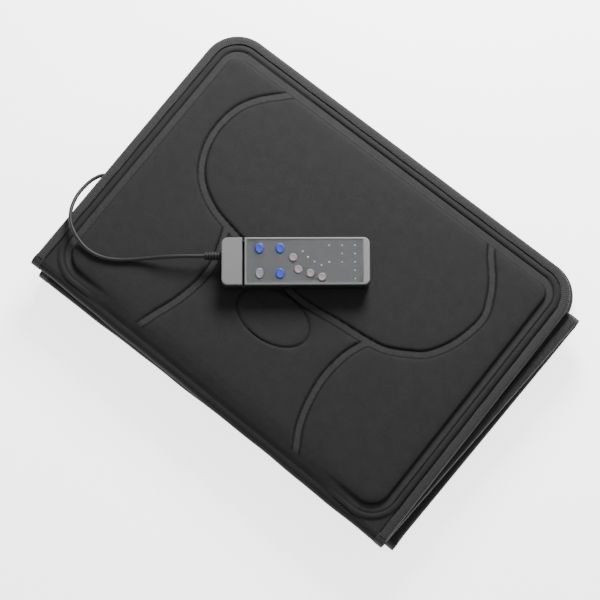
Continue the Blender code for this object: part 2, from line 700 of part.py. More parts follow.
def lower_shell(frame):
    half = HANDSET_LENGTH / 2
    outer = handset_outline(-half, half, 0, True, True)
    soft = handset_outline(-half, half, 1.5 * MM, True, True)
    inner = handset_outline(-half, half, SHELL_WALL, True, True)
    rings = [(soft, 0), (outer, 1.5 * MM), (outer, SPLIT_Z), (inner, SPLIT_Z), (inner, SHELL_WALL)]
    shell = loft("handset_lower_shell", rings, black_plastic(), frame)
    ribs = []
    for x in (board_start() + RIB_FROM_BOARD_END, half - BOARD_TO_END - RIB_FROM_BOARD_END):
        outline = rounded_box(x - 1 * MM, x + 1 * MM, 0.5 * MM - HANDSET_WIDTH / 2,
                              HANDSET_WIDTH / 2 - 0.5 * MM, [0] * 4, 1)
        ribs.append(prism("rib", outline, SHELL_WALL / 2, SPLIT_Z - FIT_GAP, black_plastic(), frame))
    combine(shell, ribs, "UNION")
    holes = [relief_hole(frame)]
    for x in screw_places():
        head = ellipse(SCREW_HEAD_RADIUS + FIT_GAP, SCREW_HEAD_RADIUS + FIT_GAP, (x, 0))
        depth = 2 * FIT_GAP + SCREW_HEAD_THICKNESS
        holes.append(prism("hole", head, -depth, depth, steel(), frame))
        shank = ellipse(SCREW_RADIUS + FIT_GAP, SCREW_RADIUS + FIT_GAP, (x, 0), 12)
        holes.append(prism("hole", shank, -SHELL_WALL, 2 * SHELL_WALL, steel(), frame))
    return combine(shell, holes, "DIFFERENCE")


def relief_hole(frame):
    half = HANDSET_LENGTH / 2
    radius = RELIEF_NECK_RADIUS + FIT_GAP
    hole = turned("relief_hole", [(-half - radius, 0), (-half - radius, radius),
                                  (-half + 2 * SHELL_WALL, radius), (-half + 2 * SHELL_WALL, 0)],
                  black_plastic(), frame)
    hole.location = (0, RELIEF_OFFSET, SPLIT_Z)
    return hole


def led_places():
    places = list(ZONE_LEDS)
    for x, rows in LED_COLUMNS:
        places += [(x, row) for row in rows]
    return [on_face(place) for place in places]


def button_list():
    return ([(name, OVAL_BUTTON, on_face(place)) for name, place in OVAL_BUTTONS]
            + [(name, ROUND_BUTTON, on_face(place)) for name, place in ROUND_BUTTONS])


def button_cutters(clearance, z0, z1, frame):
    tools = []
    for _, half, place in button_list():
        outline = ellipse(half[0] + clearance, half[1] + clearance, place)
        tools.append(prism("button_hole", outline, z0, z1, black_plastic(), frame))
    return tools


def led_cutters(z0, z1, frame):
    radius = LED_RADIUS + LED_CLEARANCE
    return [prism("led_hole", ellipse(radius, radius, place, 8), z0, z1, black_plastic(), frame)
            for place in led_places()]


def window_outline(clearance):
    half = HANDSET_WIDTH / 2 - WINDOW_MARGIN - clearance
    return rounded_box(face_start() + WINDOW_MARGIN + clearance,
                       HANDSET_LENGTH / 2 - WINDOW_END_STRIP - clearance, -half, half, [WINDOW_CORNER] * 4, 3)


def upper_shell(frame):
    shell = upper_half("handset_upper_shell", face_start(), HANDSET_LENGTH / 2, False, True,
                       grey_plastic(), frame)
    ceiling = HANDSET_HEIGHT - TOP_PLATE
    boss_low = SHELL_WALL + FIT_GAP
    bosses = [prism("boss", ellipse(BOSS_RADIUS, BOSS_RADIUS, (x, 0), 12), boss_low, ceiling + 1 * MM,
                    grey_plastic(), frame) for x in screw_places()]
    combine(shell, bosses, "UNION")
    bore = SCREW_RADIUS + FIT_GAP
    cutters = [prism("bore", ellipse(bore, bore, (x, 0), 12), 0, SCREW_LENGTH + 2 * FIT_GAP,
                     grey_plastic(), frame) for x in screw_places()]
    cutters.append(prism("recess", window_outline(0), HANDSET_HEIGHT - WINDOW_DEPTH,
                         HANDSET_HEIGHT + TOP_PLATE, grey_plastic(), frame))
    cutters += button_cutters(BUTTON_CLEARANCE, ceiling - TOP_PLATE, HANDSET_HEIGHT + TOP_PLATE, frame)
    cutters += led_cutters(ceiling - TOP_PLATE, HANDSET_HEIGHT + TOP_PLATE, frame)
    return combine(shell, cutters, "DIFFERENCE")


def end_cap(frame):
    left = -HANDSET_LENGTH / 2
    cap = upper_half("handset_end_cap", left, left + END_CAP_LENGTH, True, False, grey_plastic(), frame)
    return combine(cap, [relief_hole(frame)], "DIFFERENCE")


def window(frame):
    low = HANDSET_HEIGHT - WINDOW_DEPTH + FIT_GAP
    pane = prism("handset_window", window_outline(FIT_GAP), low, HANDSET_HEIGHT, clear_plastic(), frame)
    return combine(pane, button_cutters(BUTTON_CLEARANCE, 0, 2 * HANDSET_HEIGHT, frame), "DIFFERENCE")


def circuit_board(frame):
    low = SPLIT_Z + FIT_GAP
    half_width = HANDSET_WIDTH / 2 - SHELL_WALL - BOARD_MARGIN
    outline = rounded_box(board_start(), HANDSET_LENGTH / 2 - BOARD_TO_END, -half_width, half_width,
                          [1 * MM] * 4, 2)
    return prism("handset_circuit_board", outline, low, low + BOARD_THICKNESS, board_green(), frame)


def led_guide(frame):
    ceiling = HANDSET_HEIGHT - TOP_PLATE
    plate_top = ceiling - FIT_GAP
    half_width = HANDSET_WIDTH / 2 - SHELL_WALL - GUIDE_MARGIN
    right = HANDSET_LENGTH / 2 - BOARD_TO_END
    edge = [on_face(place) for place in GUIDE_EDGE]
    outline = [Vector((edge[-1].x, -half_width)), Vector((right, -half_width)),
               Vector((right, half_width)), Vector((edge[0].x, half_width))] + edge
    guide = prism("handset_led_guide", outline, plate_top - GUIDE_THICKNESS, plate_top, led_white(), frame)
    pins = [prism("pin", ellipse(LED_RADIUS, LED_RADIUS, place, 8), plate_top - GUIDE_THICKNESS / 2,
                  HANDSET_HEIGHT - WINDOW_DEPTH, led_white(), frame) for place in led_places()]
    combine(guide, pins, "UNION")
    reach = BUTTON_CLEARANCE + BUTTON_FLANGE
    return combine(guide, button_cutters(reach, 0, 2 * HANDSET_HEIGHT, frame), "DIFFERENCE")


def buttons(frame):
    board_top = SPLIT_Z + FIT_GAP + BOARD_THICKNESS
    low = board_top + FIT_GAP + BUTTON_TRAVEL
    top = HANDSET_HEIGHT + BUTTON_PROUD
    colours = {"power_button": lilac_plastic()}
    for name, half, place in button_list():
        oval = half is OVAL_BUTTON
        mat = colours.get(name, blue_plastic() if oval else white_plastic())
        flange = ellipse(half[0] + BUTTON_FLANGE, half[1] + BUTTON_FLANGE)
        body = ellipse(*half)
        soft = ellipse(half[0] - BUTTON_EDGE, half[1] - BUTTON_EDGE)
        rings = [(flange, 0), (flange, BUTTON_FLANGE_THICKNESS), (body, BUTTON_FLANGE_THICKNESS),
                 (body, top - low - BUTTON_EDGE), (soft, top - low)]
        button = loft(name, rings, mat, frame)
        button.location = (*place, low)


def screws(frame):
    for number, x in enumerate(screw_places(), 1):
        head = SCREW_HEAD_THICKNESS
        profile = [(0, 0), (0, SCREW_HEAD_RADIUS), (head, SCREW_HEAD_RADIUS), (head, SCREW_RADIUS),
                   (SCREW_LENGTH, SCREW_RADIUS), (SCREW_LENGTH, 0)]
        screw = turned(f"handset_screw_{number}", profile, steel(), frame, 16)
        screw.rotation_euler = (0, -math.pi / 2, 0)
        screw.location = (x, 0, FIT_GAP)


def relief_profile():
    """Neck, collar and tapered ribs, from inside the handset to the tip."""
    points = [(-RELIEF_NECK_LENGTH, 0), (-RELIEF_NECK_LENGTH, RELIEF_NECK_RADIUS),
              (FIT_GAP, RELIEF_NECK_RADIUS)]
    pitch = (RELIEF_LENGTH - FIT_GAP) / RELIEF_RIBS
    for rib in range(RELIEF_RIBS):
        radius = RELIEF_RADIUS + (RELIEF_TIP_RADIUS - RELIEF_RADIUS) * rib / (RELIEF_RIBS - 1)
        start = FIT_GAP + rib * pitch
        points += [(start, radius), (start + 0.6 * pitch, radius), (start + 0.62 * pitch, 0.78 * radius),
                   (start + 0.98 * pitch, 0.78 * radius)]
    return points + [(RELIEF_LENGTH, 0.78 * RELIEF_TIP_RADIUS), (RELIEF_LENGTH, 0)]


def strain_relief(frame):
    relief = turned("handset_strain_relief", relief_profile(), lead_rubber(), frame)
    relief.rotation_euler = (0, 0, math.pi)
    relief.location = (-HANDSET_LENGTH / 2, RELIEF_OFFSET, SPLIT_Z)


def handset(frame):
    lower_shell(frame)
    upper_shell(frame)
    end_cap(frame)
    window(frame)
    circuit_board(frame)
    led_guide(frame)
    buttons(frame)
    screws(frame)
    strain_relief(frame)
    return Vector((-HANDSET_LENGTH / 2 - RELIEF_LENGTH - FIT_GAP, RELIEF_OFFSET, SPLIT_Z))


# ---- lead -----------------------------------------------------------------------------
def smooth_path(points, spacing):
    """Evenly dense points of a Catmull-Rom curve through the route."""
    ends = [points[0] * 2 - points[1]] + points + [points[-1] * 2 - points[-2]]
    dense = []
    for a, b, c, d in zip(ends, ends[1:], ends[2:], ends[3:]):
        for step in range(16):
            t = step / 16
            dense.append(0.5 * (2 * b + (c - a) * t + (2 * a - 5 * b + 4 * c - d) * t ** 2
                                + (3 * b - a - 3 * c + d) * t ** 3))
    dense.append(points[-1])
    path = [dense[0]]
    for point in dense[1:-1]:
        if (point - path[-1]).length >= spacing and (point - dense[-1]).length >= spacing / 2:
            path.append(point)
    return path + [dense[-1]]


def handset_lead(start, end, frame):
    route = [start] + [start + Vector(p) * MM for p in LEAD_ROUTE] + [end]
    path = smooth_path(route, 1.3 * LEAD_DIAMETER)
    curve = bpy.data.curves.new("handset_lead", "CURVE")
    curve.dimensions = "3D"
    curve.bevel_depth = LEAD_DIAMETER / 2
    curve.bevel_resolution = 2
    curve.render_resolution_u = 0
    curve.use_fill_caps = True
    spline = curve.splines.new("POLY")
    spline.points.add(len(path) - 1)
    for point, place in zip(spline.points, path):
        point.co = (*place, 1)
    obj = bpy.data.objects.new("handset_lead", curve)
    bpy.context.collection.objects.link(obj)
    obj.data.materials.append(lead_rubber())
    obj.parent = frame


# ---- assembly -------------------------------------------------------------------------
def centre_on_base(root):
    """Put the origin under the middle of the object's box, the free lead apart."""
    bpy.context.view_layer.update()
    graph = bpy.context.evaluated_depsgraph_get()
    points = []
    for obj in bpy.data.objects:
        if obj.type == "MESH" and obj.name != "handset_lead":
            solid = obj.evaluated_get(graph)
            points += [solid.matrix_world @ v.co for v in solid.data.vertices]
    lows = [min(p[axis] for p in points) for axis in range(3)]
    highs = [max(p[axis] for p in points) for axis in range(3)]
    root.location -= Vector(((lows[0] + highs[0]) / 2, (lows[1] + highs[1]) / 2, lows[2]))


def build():
    for obj in list(bpy.data.objects):
        bpy.data.objects.remove(obj)
    root = empty("panel_1_frame")
    frame = root
    for panel in range(1, 5):
        if panel > 1:
            frame = empty(f"fold_{panel - 1}_axis", frame, fold_matrix(panel - 1))
        cover = top_cover(panel, frame)
        foam_core(panel, frame)
        back = back_cover(panel, frame)
        edges = bindings(panel, frame)
        if panel in HEATED_PANELS:
            heater(panel, frame)
        if panel < 4:
            fold_gusset(panel, frame)
        motors(panel, frame)
        if panel == 1:
            cut_notches([cover, back] + edges, frame)
            lead_start = lead_gland(frame)
            dc_inlet(frame)
    place = Matrix.Translation((HANDSET_AT[0], HANDSET_AT[1] - PANEL_LENGTHS[0], PANEL_THICKNESS + FIT_GAP))
    turn = Matrix.Rotation(HANDSET_TURN, 4, "Z")
    case = empty("handset_frame", root, place @ turn)
    entry = handset(case)
    handset_lead(lead_start, place @ turn @ entry, root)
    centre_on_base(root)


build()
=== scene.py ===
"""Looks of the folding massage mat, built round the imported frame."""

import json
import math

import bmesh
import bpy
import numpy as np
from mathutils import Matrix, Vector


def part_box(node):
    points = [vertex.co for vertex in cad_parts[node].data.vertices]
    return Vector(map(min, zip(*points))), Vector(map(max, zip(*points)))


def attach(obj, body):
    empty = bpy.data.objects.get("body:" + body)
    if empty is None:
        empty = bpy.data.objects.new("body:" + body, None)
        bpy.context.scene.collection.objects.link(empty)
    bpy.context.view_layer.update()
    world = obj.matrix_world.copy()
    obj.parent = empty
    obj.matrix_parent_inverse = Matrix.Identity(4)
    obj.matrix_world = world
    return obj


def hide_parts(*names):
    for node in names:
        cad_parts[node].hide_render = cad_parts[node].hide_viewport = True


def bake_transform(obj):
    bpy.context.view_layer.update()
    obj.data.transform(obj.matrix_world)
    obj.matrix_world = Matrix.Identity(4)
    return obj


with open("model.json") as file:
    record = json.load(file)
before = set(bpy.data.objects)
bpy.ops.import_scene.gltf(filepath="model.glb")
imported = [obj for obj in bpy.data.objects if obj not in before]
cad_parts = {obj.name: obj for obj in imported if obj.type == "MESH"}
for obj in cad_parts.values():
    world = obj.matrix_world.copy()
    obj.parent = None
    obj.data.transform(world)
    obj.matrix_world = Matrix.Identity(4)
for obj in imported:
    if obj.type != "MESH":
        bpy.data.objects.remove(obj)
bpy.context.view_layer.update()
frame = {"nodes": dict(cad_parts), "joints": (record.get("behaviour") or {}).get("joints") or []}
MM = 0.001
NODES = frame["nodes"]


# ---- camera ---------------------------------------------------------------------------
def add_camera():
    azimuth, elevation, roll = math.radians(-37.58), math.radians(76.0), math.radians(0.64)
    ahead = Vector((math.sin(azimuth) * math.cos(elevation), math.cos(azimuth) * math.cos(elevation),
                    -math.sin(elevation)))
    right = ahead.cross(Vector((0, 0, 1))).normalized()
    up = right.cross(ahead)
    across = right * math.cos(roll) + up * math.sin(roll)
    upward = up * math.cos(roll) - right * math.sin(roll)
    data = bpy.data.cameras.new("camera")
    data.lens = 170.72
    data.sensor_width = 36
    camera = bpy.data.objects.new("camera", data)
    bpy.context.scene.collection.objects.link(camera)
    place = Matrix.Translation((0.49409, -0.66734, 3.28650))
    turn = Matrix((across, upward, -ahead)).transposed().to_4x4()
    camera.matrix_world = place @ turn
    bpy.context.scene.camera = camera


add_camera()


# ---- material nodes -------------------------------------------------------------------
class Shader:
    """A Principled material with helpers for procedural colour, roughness and bump."""

    def __init__(self, name, colour, roughness, metallic=0.0, sheen=0.0, coat=0.0, gloss=0.5):
        self.mat = bpy.data.materials.new(name)
        self.mat.use_nodes = True
        self.tree = self.mat.node_tree
        self.bsdf = self.tree.nodes["Principled BSDF"]
        self.set("Base Color", (*colour, 1.0))
        self.set("Roughness", roughness)
        self.set("Metallic", metallic)
        self.set("Specular IOR Level", gloss)
        self.set("Sheen Weight", sheen)
        self.set("Sheen Roughness", 0.45)
        self.set("Coat Weight", coat)
        self.set("Coat Roughness", 0.25)
        self.coords = self.tree.nodes.new("ShaderNodeTexCoord")
        self.height = None

    def set(self, socket, value):
        self.bsdf.inputs[socket].default_value = value

    def link(self, a, b):
        self.tree.links.new(a, b)

    def mapped(self, scale=(1, 1, 1), turn=(0, 0, 0), uv=False):
        node = self.tree.nodes.new("ShaderNodeMapping")
        node.inputs["Scale"].default_value = scale
        node.inputs["Rotation"].default_value = turn
        self.link(self.coords.outputs["UV" if uv else "Object"], node.inputs["Vector"])
        return node.outputs["Vector"]

    def noise(self, scale, detail=3.0, rough=0.55, vector=None):
        node = self.tree.nodes.new("ShaderNodeTexNoise")
        node.inputs["Scale"].default_value = scale
        node.inputs["Detail"].default_value = detail
        node.inputs["Roughness"].default_value = rough
        self.link(vector or self.coords.outputs["Object"], node.inputs["Vector"])
        return node.outputs["Fac"]

    def wave(self, scale, distortion=0.0, vector=None, direction="X", detail=2.0):
        node = self.tree.nodes.new("ShaderNodeTexWave")
        node.bands_direction = direction
        node.inputs["Scale"].default_value = scale
        node.inputs["Distortion"].default_value = distortion
        node.inputs["Detail"].default_value = detail
        self.link(vector or self.coords.outputs["Object"], node.inputs["Vector"])
        return node.outputs["Fac"]

    def cells(self, scale, vector=None):
        node = self.tree.nodes.new("ShaderNodeTexVoronoi")
        node.inputs["Scale"].default_value = scale
        self.link(vector or self.coords.outputs["Object"], node.inputs["Vector"])
        return node.outputs["Distance"]

    def maths(self, operation, a, b):
        node = self.tree.nodes.new("ShaderNodeMath")
        node.operation = operation
        for socket, value in zip(node.inputs, (a, b)):
            if isinstance(value, (int, float)):
                socket.default_value = value
            else:
                self.link(value, socket)
        return node.outputs[0]

    def ramp(self, value, low, high, a=0.0, b=1.0):
        node = self.tree.nodes.new("ShaderNodeMapRange")
        for name, number in (("From Min", a), ("From Max", b), ("To Min", low), ("To Max", high)):
            node.inputs[name].default_value = number
        self.link(value, node.inputs["Value"])
        return node.outputs["Result"]

    def tint(self, value, dark, light, a=0.3, b=0.7):
        """Colour from dark to light as value goes from a to b."""
        node = self.tree.nodes.new("ShaderNodeValToRGB")
        node.color_ramp.elements[0].position = a
        node.color_ramp.elements[0].color = (*dark, 1)
        node.color_ramp.elements[1].position = b
        node.color_ramp.elements[1].color = (*light, 1)
        self.link(value, node.inputs["Fac"])
        self.link(node.outputs["Color"], self.bsdf.inputs["Base Color"])
        return self

    def shade_by(self, attribute, low, high):
        """Multiply the colour by low to high as a piece's own attribute goes from 0 to 1."""
        node = self.tree.nodes.new("ShaderNodeAttribute")
        node.attribute_name = attribute
        mix = self.tree.nodes.new("ShaderNodeVectorMath")
        mix.operation = "SCALE"
        self.link(self.bsdf.inputs["Base Color"].links[0].from_socket, mix.inputs[0])
        self.link(self.ramp(node.outputs["Fac"], low, high), mix.inputs["Scale"])
        self.link(mix.outputs["Vector"], self.bsdf.inputs["Base Color"])
        return self

    def roughen(self, value, low, high):
        self.link(self.ramp(value, low, high, 0.3, 0.7), self.bsdf.inputs["Roughness"])
        return self

    def bump(self, value, distance, strength=1.0):
        node = self.tree.nodes.new("ShaderNodeBump")
        node.inputs["Distance"].default_value = distance
        node.inputs["Strength"].default_value = strength
        self.link(value, node.inputs["Height"])
        if self.height is not None:
            self.link(self.height, node.inputs["Normal"])
        self.height = node.outputs["Normal"]
        self.link(self.height, self.bsdf.inputs["Normal"])
        return self


def scaled(colour, factor):
    return tuple(c * factor for c in colour)


def knit(name, colour):
    """Brushed knitted cover fabric: rows of small loops, soft pile and mottling, with painted sheen where it
    is pressed flat and painted shade in its creases.
    """
    s = Shader(name, colour, 0.86, sheen=0.05, gloss=0.16)
    loops = 620.0
    rows = s.wave(loops, 1.2, s.mapped(turn=(0, 0, 0.6)), "X")
    wales = s.wave(loops * 0.8, 1.2, s.mapped(turn=(0, 0, 0.6)), "Y")
    loop = s.maths("MULTIPLY", rows, wales)
    pile = s.noise(620.0, 3.0)
    mottle = s.noise(75.0, 5.0, 0.7)
    both = s.maths("ADD", s.maths("MULTIPLY", mottle, 0.35), s.maths("MULTIPLY", pile, 0.65))
    s.tint(both, scaled(colour, 0.78), scaled(colour, 1.22), 0.36, 0.64)
    # painted sheen: the colour is lightened up to 1.5 times where the fabric is pressed flat, on the
    # channels' floors and the border channel's floor
    s.shade_by("pressed_painted_sheen", 1.0, 1.5)
    # painted shade: the colour is darkened down to 0.12 in the creases at the channels' edges, beside the
    # border channel, at the tape's edge and round the pressed ovals
    s.shade_by("crease_painted_shade", 1.0, 0.12)
    s.roughen(pile, 0.8, 0.95)
    s.bump(loop, 0.00012, 0.5)
    s.bump(pile, 0.0002, 0.5)
    return s.mat


def woven(name, colour):
    """Ribbed tape: fine ribs across it and threads along it, from its UVs in metres."""
    s = Shader(name, colour, 0.8, sheen=0.08, gloss=0.2)
    ribs = s.wave(160.0, 1.4, s.mapped(uv=True), "X", 1.0)
    threads = s.wave(185.0, 1.6, s.mapped(uv=True), "Y", 1.0)
    weave = s.maths("ADD", s.maths("MULTIPLY", ribs, 0.65), s.maths("MULTIPLY", threads, 0.35))
    fuzz = s.noise(640.0, 3.0)
    tone = s.maths("ADD", s.maths("MULTIPLY", weave, 0.35), s.maths("MULTIPLY", fuzz, 0.65))
    s.tint(tone, scaled(colour, 0.4), scaled(colour, 1.9), 0.3, 0.7)
    s.roughen(fuzz, 0.7, 0.95)
    s.bump(weave, 0.0005, 0.9)
    s.bump(fuzz, 0.0002, 0.5)
    return s.mat


def cloth_back(name, colour):
    """Plain-woven backing."""
    s = Shader(name, colour, 0.9, sheen=0.08, gloss=0.15)
    warp = s.wave(420.0, 0.8, None, "X")
    weft = s.wave(420.0, 0.8, None, "Y")
    weave = s.maths("MAXIMUM", warp, weft)
    wear = s.noise(35.0, 4.0)
    s.tint(wear, scaled(colour, 0.8), scaled(colour, 1.25))
    s.roughen(wear, 0.82, 0.96)
    s.bump(weave, 0.0002, 0.8)
    return s.mat


def foam_body(name, colour):
    s = Shader(name, colour, 0.95)
    pores = s.cells(900.0)
    s.tint(s.noise(120.0, 4.0), scaled(colour, 0.8), scaled(colour, 1.15))
    s.roughen(pores, 0.88, 0.98)
    s.bump(pores, 0.0004, 0.8)
    return s.mat


def moulded(name, colour, roughness, grain=1400.0, depth=0.00004, coat=0.0, gloss=0.5):
    """Moulded plastic: fine spark-eroded grain and slight unevenness in gloss."""
    s = Shader(name, colour, roughness, coat=coat, gloss=gloss)
    fine = s.noise(grain, 3.0)
    wide = s.noise(60.0, 3.0)
    s.tint(wide, scaled(colour, 0.94), scaled(colour, 1.06))
    s.roughen(fine, roughness - 0.06, roughness + 0.08)
    s.bump(fine, depth, 0.6)
    return s.mat


def two_tone(name, face, roughness):
    """Handset case: a pale face plate over black sides, parted at FACE_PLATE_Z."""
    s = Shader(name, face, roughness, coat=0.1)
    split = s.tree.nodes.new("ShaderNodeSeparateXYZ")
    s.link(s.coords.outputs["Object"], split.inputs["Vector"])
    above = s.ramp(split.outputs["Z"], 0.0, 1.0, FACE_PLATE_Z - 0.0001, FACE_PLATE_Z + 0.0001)
    s.tint(above, CASE_BLACK, face, 0.0, 1.0)
    fine = s.noise(1400.0, 3.0)
    s.roughen(fine, roughness - 0.06, roughness + 0.08)
    s.bump(fine, 0.00004, 0.6)
    return s.mat


def clear(name):
    s = Shader(name, (0.93, 0.94, 0.95), 0.07)
    s.set("Transmission Weight", 1.0)
    s.set("IOR", 1.38)
    s.roughen(s.noise(300.0, 2.0), 0.04, 0.12)
    s.bump(s.noise(500.0, 2.0), 0.00001, 0.4)
    return s.mat


def metal(name, colour, roughness, turned=True):
    s = Shader(name, colour, roughness, metallic=1.0)
    lines = s.noise(900.0, 2.0, 0.5, s.mapped((0.06, 1, 1) if turned else (1, 1, 1)))
    s.tint(lines, scaled(colour, 0.85), scaled(colour, 1.1))
    s.roughen(lines, roughness - 0.08, roughness + 0.12)
    s.bump(lines, 0.00003, 0.5)
    return s.mat


def heater_sheet(name):
    """Heating pad: carbon tracks printed on film."""
    s = Shader(name, (0.3, 0.12, 0.06), 0.5)
    tracks = s.wave(18.0, 0.0, None, "Y", 0.0)
    s.tint(tracks, (0.02, 0.02, 0.02), (0.42, 0.2, 0.1), 0.45, 0.55)
    s.bump(tracks, 0.0002, 0.5)
    s.roughen(s.noise(400.0), 0.4, 0.6)
    return s.mat


def board_mat(name):
    s = Shader(name, (0.03, 0.18, 0.07), 0.4, coat=0.3)
    tracks = s.wave(90.0, 6.0, None, "X", 0.0)
    s.tint(tracks, (0.02, 0.12, 0.045), (0.05, 0.26, 0.1), 0.45, 0.55)
    s.bump(tracks, 0.00004, 0.5)
    s.roughen(s.noise(700.0), 0.3, 0.5)
    return s.mat


FACE_PLATE_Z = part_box("handset_upper_shell")[1].z - 0.0026
COVER = (0.019, 0.019, 0.0193)
CASE_BLACK = (0.008, 0.008, 0.0085)
M = {
    "cover": knit("cover_knit", COVER),
    # the fold fabric is the cover knit darkened to 0.85: painted shade on the fabric round the folds
    "fold": knit("fold_knit_shaded", scaled(COVER, 0.85)),
    "back": cloth_back("backing_weave", (0.026, 0.026, 0.028)),
    "tape": woven("binding_weave", (0.026, 0.026, 0.0265)),
    "foam": foam_body("grey_foam", (0.22, 0.22, 0.23)),
    "heater": heater_sheet("heating_film"),
    "steel": metal("turned_steel", (0.6, 0.6, 0.62), 0.34),
    "weight": metal("sintered_weight", (0.42, 0.4, 0.37), 0.5, False),
    "black": moulded("black_case", CASE_BLACK, 0.42),
    "cap": two_tone("end_cap_case", (0.142, 0.142, 0.142), 0.42),
    "grey": two_tone("face_case", (0.16, 0.16, 0.16), 0.4),
    "window": clear("clear_cover"),
    "board": board_mat("board_lacquer"),
    "led": moulded("light_guide", (0.9, 0.9, 0.88), 0.35, 900.0),
    "rubber": moulded("lead_rubber_matte", (0.014, 0.014, 0.0145), 0.5, 1100.0, 0.00006, gloss=0.3),
    "blue": moulded("blue_button_plastic", (0.015, 0.035, 0.36), 0.34, 900.0, 0.00003, 0.2),
    "lilac": moulded("lilac_button_plastic", (0.15, 0.135, 0.18), 0.4, 900.0, 0.00003, 0.1),
    "white": moulded("white_button_plastic", (0.2, 0.165, 0.17), 0.4, 900.0, 0.00003, 0.1),
    "screw": metal("screw_zinc", (0.55, 0.55, 0.57), 0.3, False),
}

NODE_MATERIAL = {
    "dc_inlet": "black", "lead_gland": "black", "handset_lower_shell": "black",
    "handset_upper_shell": "grey", "handset_end_cap": "cap", "handset_window": "window",
    "handset_circuit_board": "board", "handset_led_guide": "led", "handset_strain_relief": "rubber",
    "handset_screw_1": "screw", "handset_screw_2": "screw",
}
for node in NODES:
    if node.endswith("foam_core"):
        NODE_MATERIAL[node] = "foam"
    elif node.endswith("heater"):
        NODE_MATERIAL[node] = "heater"
    elif "_motor_" in node:
        NODE_MATERIAL[node] = "steel"
    elif "_weight_" in node:
        NODE_MATERIAL[node] = "weight"
for node, key in NODE_MATERIAL.items():
    for material_slot in NODES[node].material_slots:
        material_slot.material = M[key]


# ---- mesh helpers ---------------------------------------------------------------------
def mesh_object(name, verts, faces, mat, smooth=True, uvs=None, recalc=False):
    mesh = bpy.data.meshes.new(name)
    mesh.from_pydata([tuple(v) for v in verts], [], [tuple(f) for f in faces])
    if uvs is not None:
        layer = mesh.uv_layers.new(name="UVMap")
        index = np.zeros(len(mesh.loops), int)
        mesh.loops.foreach_get("vertex_index", index)
        layer.data.foreach_set("uv", np.asarray(uvs, float)[index].ravel())
    if recalc:
        bm = bmesh.new()
        bm.from_mesh(mesh)
        bmesh.ops.recalc_face_normals(bm, faces=bm.faces)
        bm.to_mesh(mesh)
        bm.free()
    mesh.update()
    if smooth:
        mesh.polygons.foreach_set("use_smooth", [True] * len(mesh.polygons))
    obj = bpy.data.objects.new(name, mesh)
    bpy.context.scene.collection.objects.link(obj)
    mesh.materials.append(mat)
    return obj


def sweep(name, stations, mat, smooth_angle):
    """Closed solid through stations of section points; UVs are metres along and round."""
    stations = np.asarray(stations, float)
    n, m = stations.shape[:2]
    along = np.concatenate([[0], np.cumsum(np.linalg.norm(np.diff(stations[:, 0], axis=0), axis=1))])
    round_ = np.concatenate([[0], np.cumsum(np.linalg.norm(np.diff(stations[0], axis=0), axis=1))])
    uvs = [(along[i], round_[j]) for i in range(n) for j in range(m)]
    faces = []
    for i in range(n - 1):
        for j in range(m):
            k = (j + 1) % m
            faces.append((i * m + j, (i + 1) * m + j, (i + 1) * m + k, i * m + k))
    faces.append(tuple(range(m - 1, -1, -1)))
    faces.append(tuple(range((n - 1) * m, n * m)))
    obj = mesh_object(name, stations.reshape(-1, 3), faces, mat, uvs=uvs, recalc=True)
    obj.data.set_sharp_from_angle(angle=math.radians(smooth_angle))
    return obj


# samples between two given points of a curve
CURVE_STEPS = 24


def smooth_curve(points, step):
    """Points every step along a Catmull-Rom curve through the given ones."""
    p = np.asarray(points, float)
    p = np.vstack([2 * p[0] - p[1], p, 2 * p[-1] - p[-2]])
    dense = []
    for a, b, c, d in zip(p, p[1:], p[2:], p[3:]):
        t = np.linspace(0, 1, CURVE_STEPS, endpoint=False)[:, None]
        dense.append(0.5 * (2 * b + (c - a) * t + (2 * a - 5 * b + 4 * c - d) * t ** 2
                            + (3 * b - a - 3 * c + d) * t ** 3))
    dense = np.vstack(dense + [p[-2:-1]])
    length = np.concatenate([[0], np.cumsum(np.linalg.norm(np.diff(dense, axis=0), axis=1))])
    count = max(int(length[-1] / step), 2)
    at = np.linspace(0, length[-1], count + 1)
    return np.stack([np.interp(at, length, dense[:, k]) for k in range(dense.shape[1])], 1)


def smoothstep(x, a, b):
    t = np.clip((x - a) / (b - a), 0, 1)
    return t * t * (3 - 2 * t)


def ripple(x, y, seed):
    """Slow unevenness between about -1 and 1."""
    return (np.sin(x * 0.021 + seed) * np.cos(y * 0.027 + 1.7 * seed)
            + 0.6 * np.sin(x * 0.047 + y * 0.031 + 2.3 * seed)
            + 0.35 * np.sin(x * 0.083 - y * 0.071 + 0.9 * seed)) / 1.95


# ---- places of the four panels, from the frame ----------------------------------------
JOINTS = {j["name"]: j for j in frame["joints"]}


def half_turn(fold):
    place = Matrix.Translation(Vector(JOINTS[fold]["pos_m"]))
    return place @ Matrix.Rotation(math.pi, 4, Vector(JOINTS[fold]["axis"])) @ place.inverted()


bind_low, bind_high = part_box("panel_1_binding")
HALF = (bind_high.x - bind_low.x) / 2 / MM
flat_origin = Vector(((bind_low.x + bind_high.x) / 2, bind_high.y, bind_low.z))
PLACE = {1: Matrix.Translation(flat_origin)}
for k in (2, 3, 4):
    PLACE[k] = half_turn(f"fold_{k - 1}") @ PLACE[k - 1]


def fold_line(fold):
    """Height and slope of a fold's line on the flat mat, in millimetres."""
    back = PLACE[fold].inverted()
    point = back @ Vector(JOINTS[f"fold_{fold}"]["pos_m"])
    ahead = back.to_3x3() @ Vector(JOINTS[f"fold_{fold}"]["axis"])
    slope = ahead.y / ahead.x
    return (point.y - point.x * slope) / MM, slope


EDGE = {0: (0.0, 0.0)}
for fold in (1, 2, 3):
    EDGE[fold] = fold_line(fold)
end_back = PLACE[4].inverted()
EDGE[4] = (min((end_back @ v.co).y for v in NODES["panel_4_binding"].data.vertices) / MM, 0.0)


def placed(points, panel):
    """Flat mat millimetres to row frame metres."""
    p = np.asarray(points, float) * MM
    m = np.array(PLACE[panel])
    return p @ m[:3, :3].T + m[:3, 3]


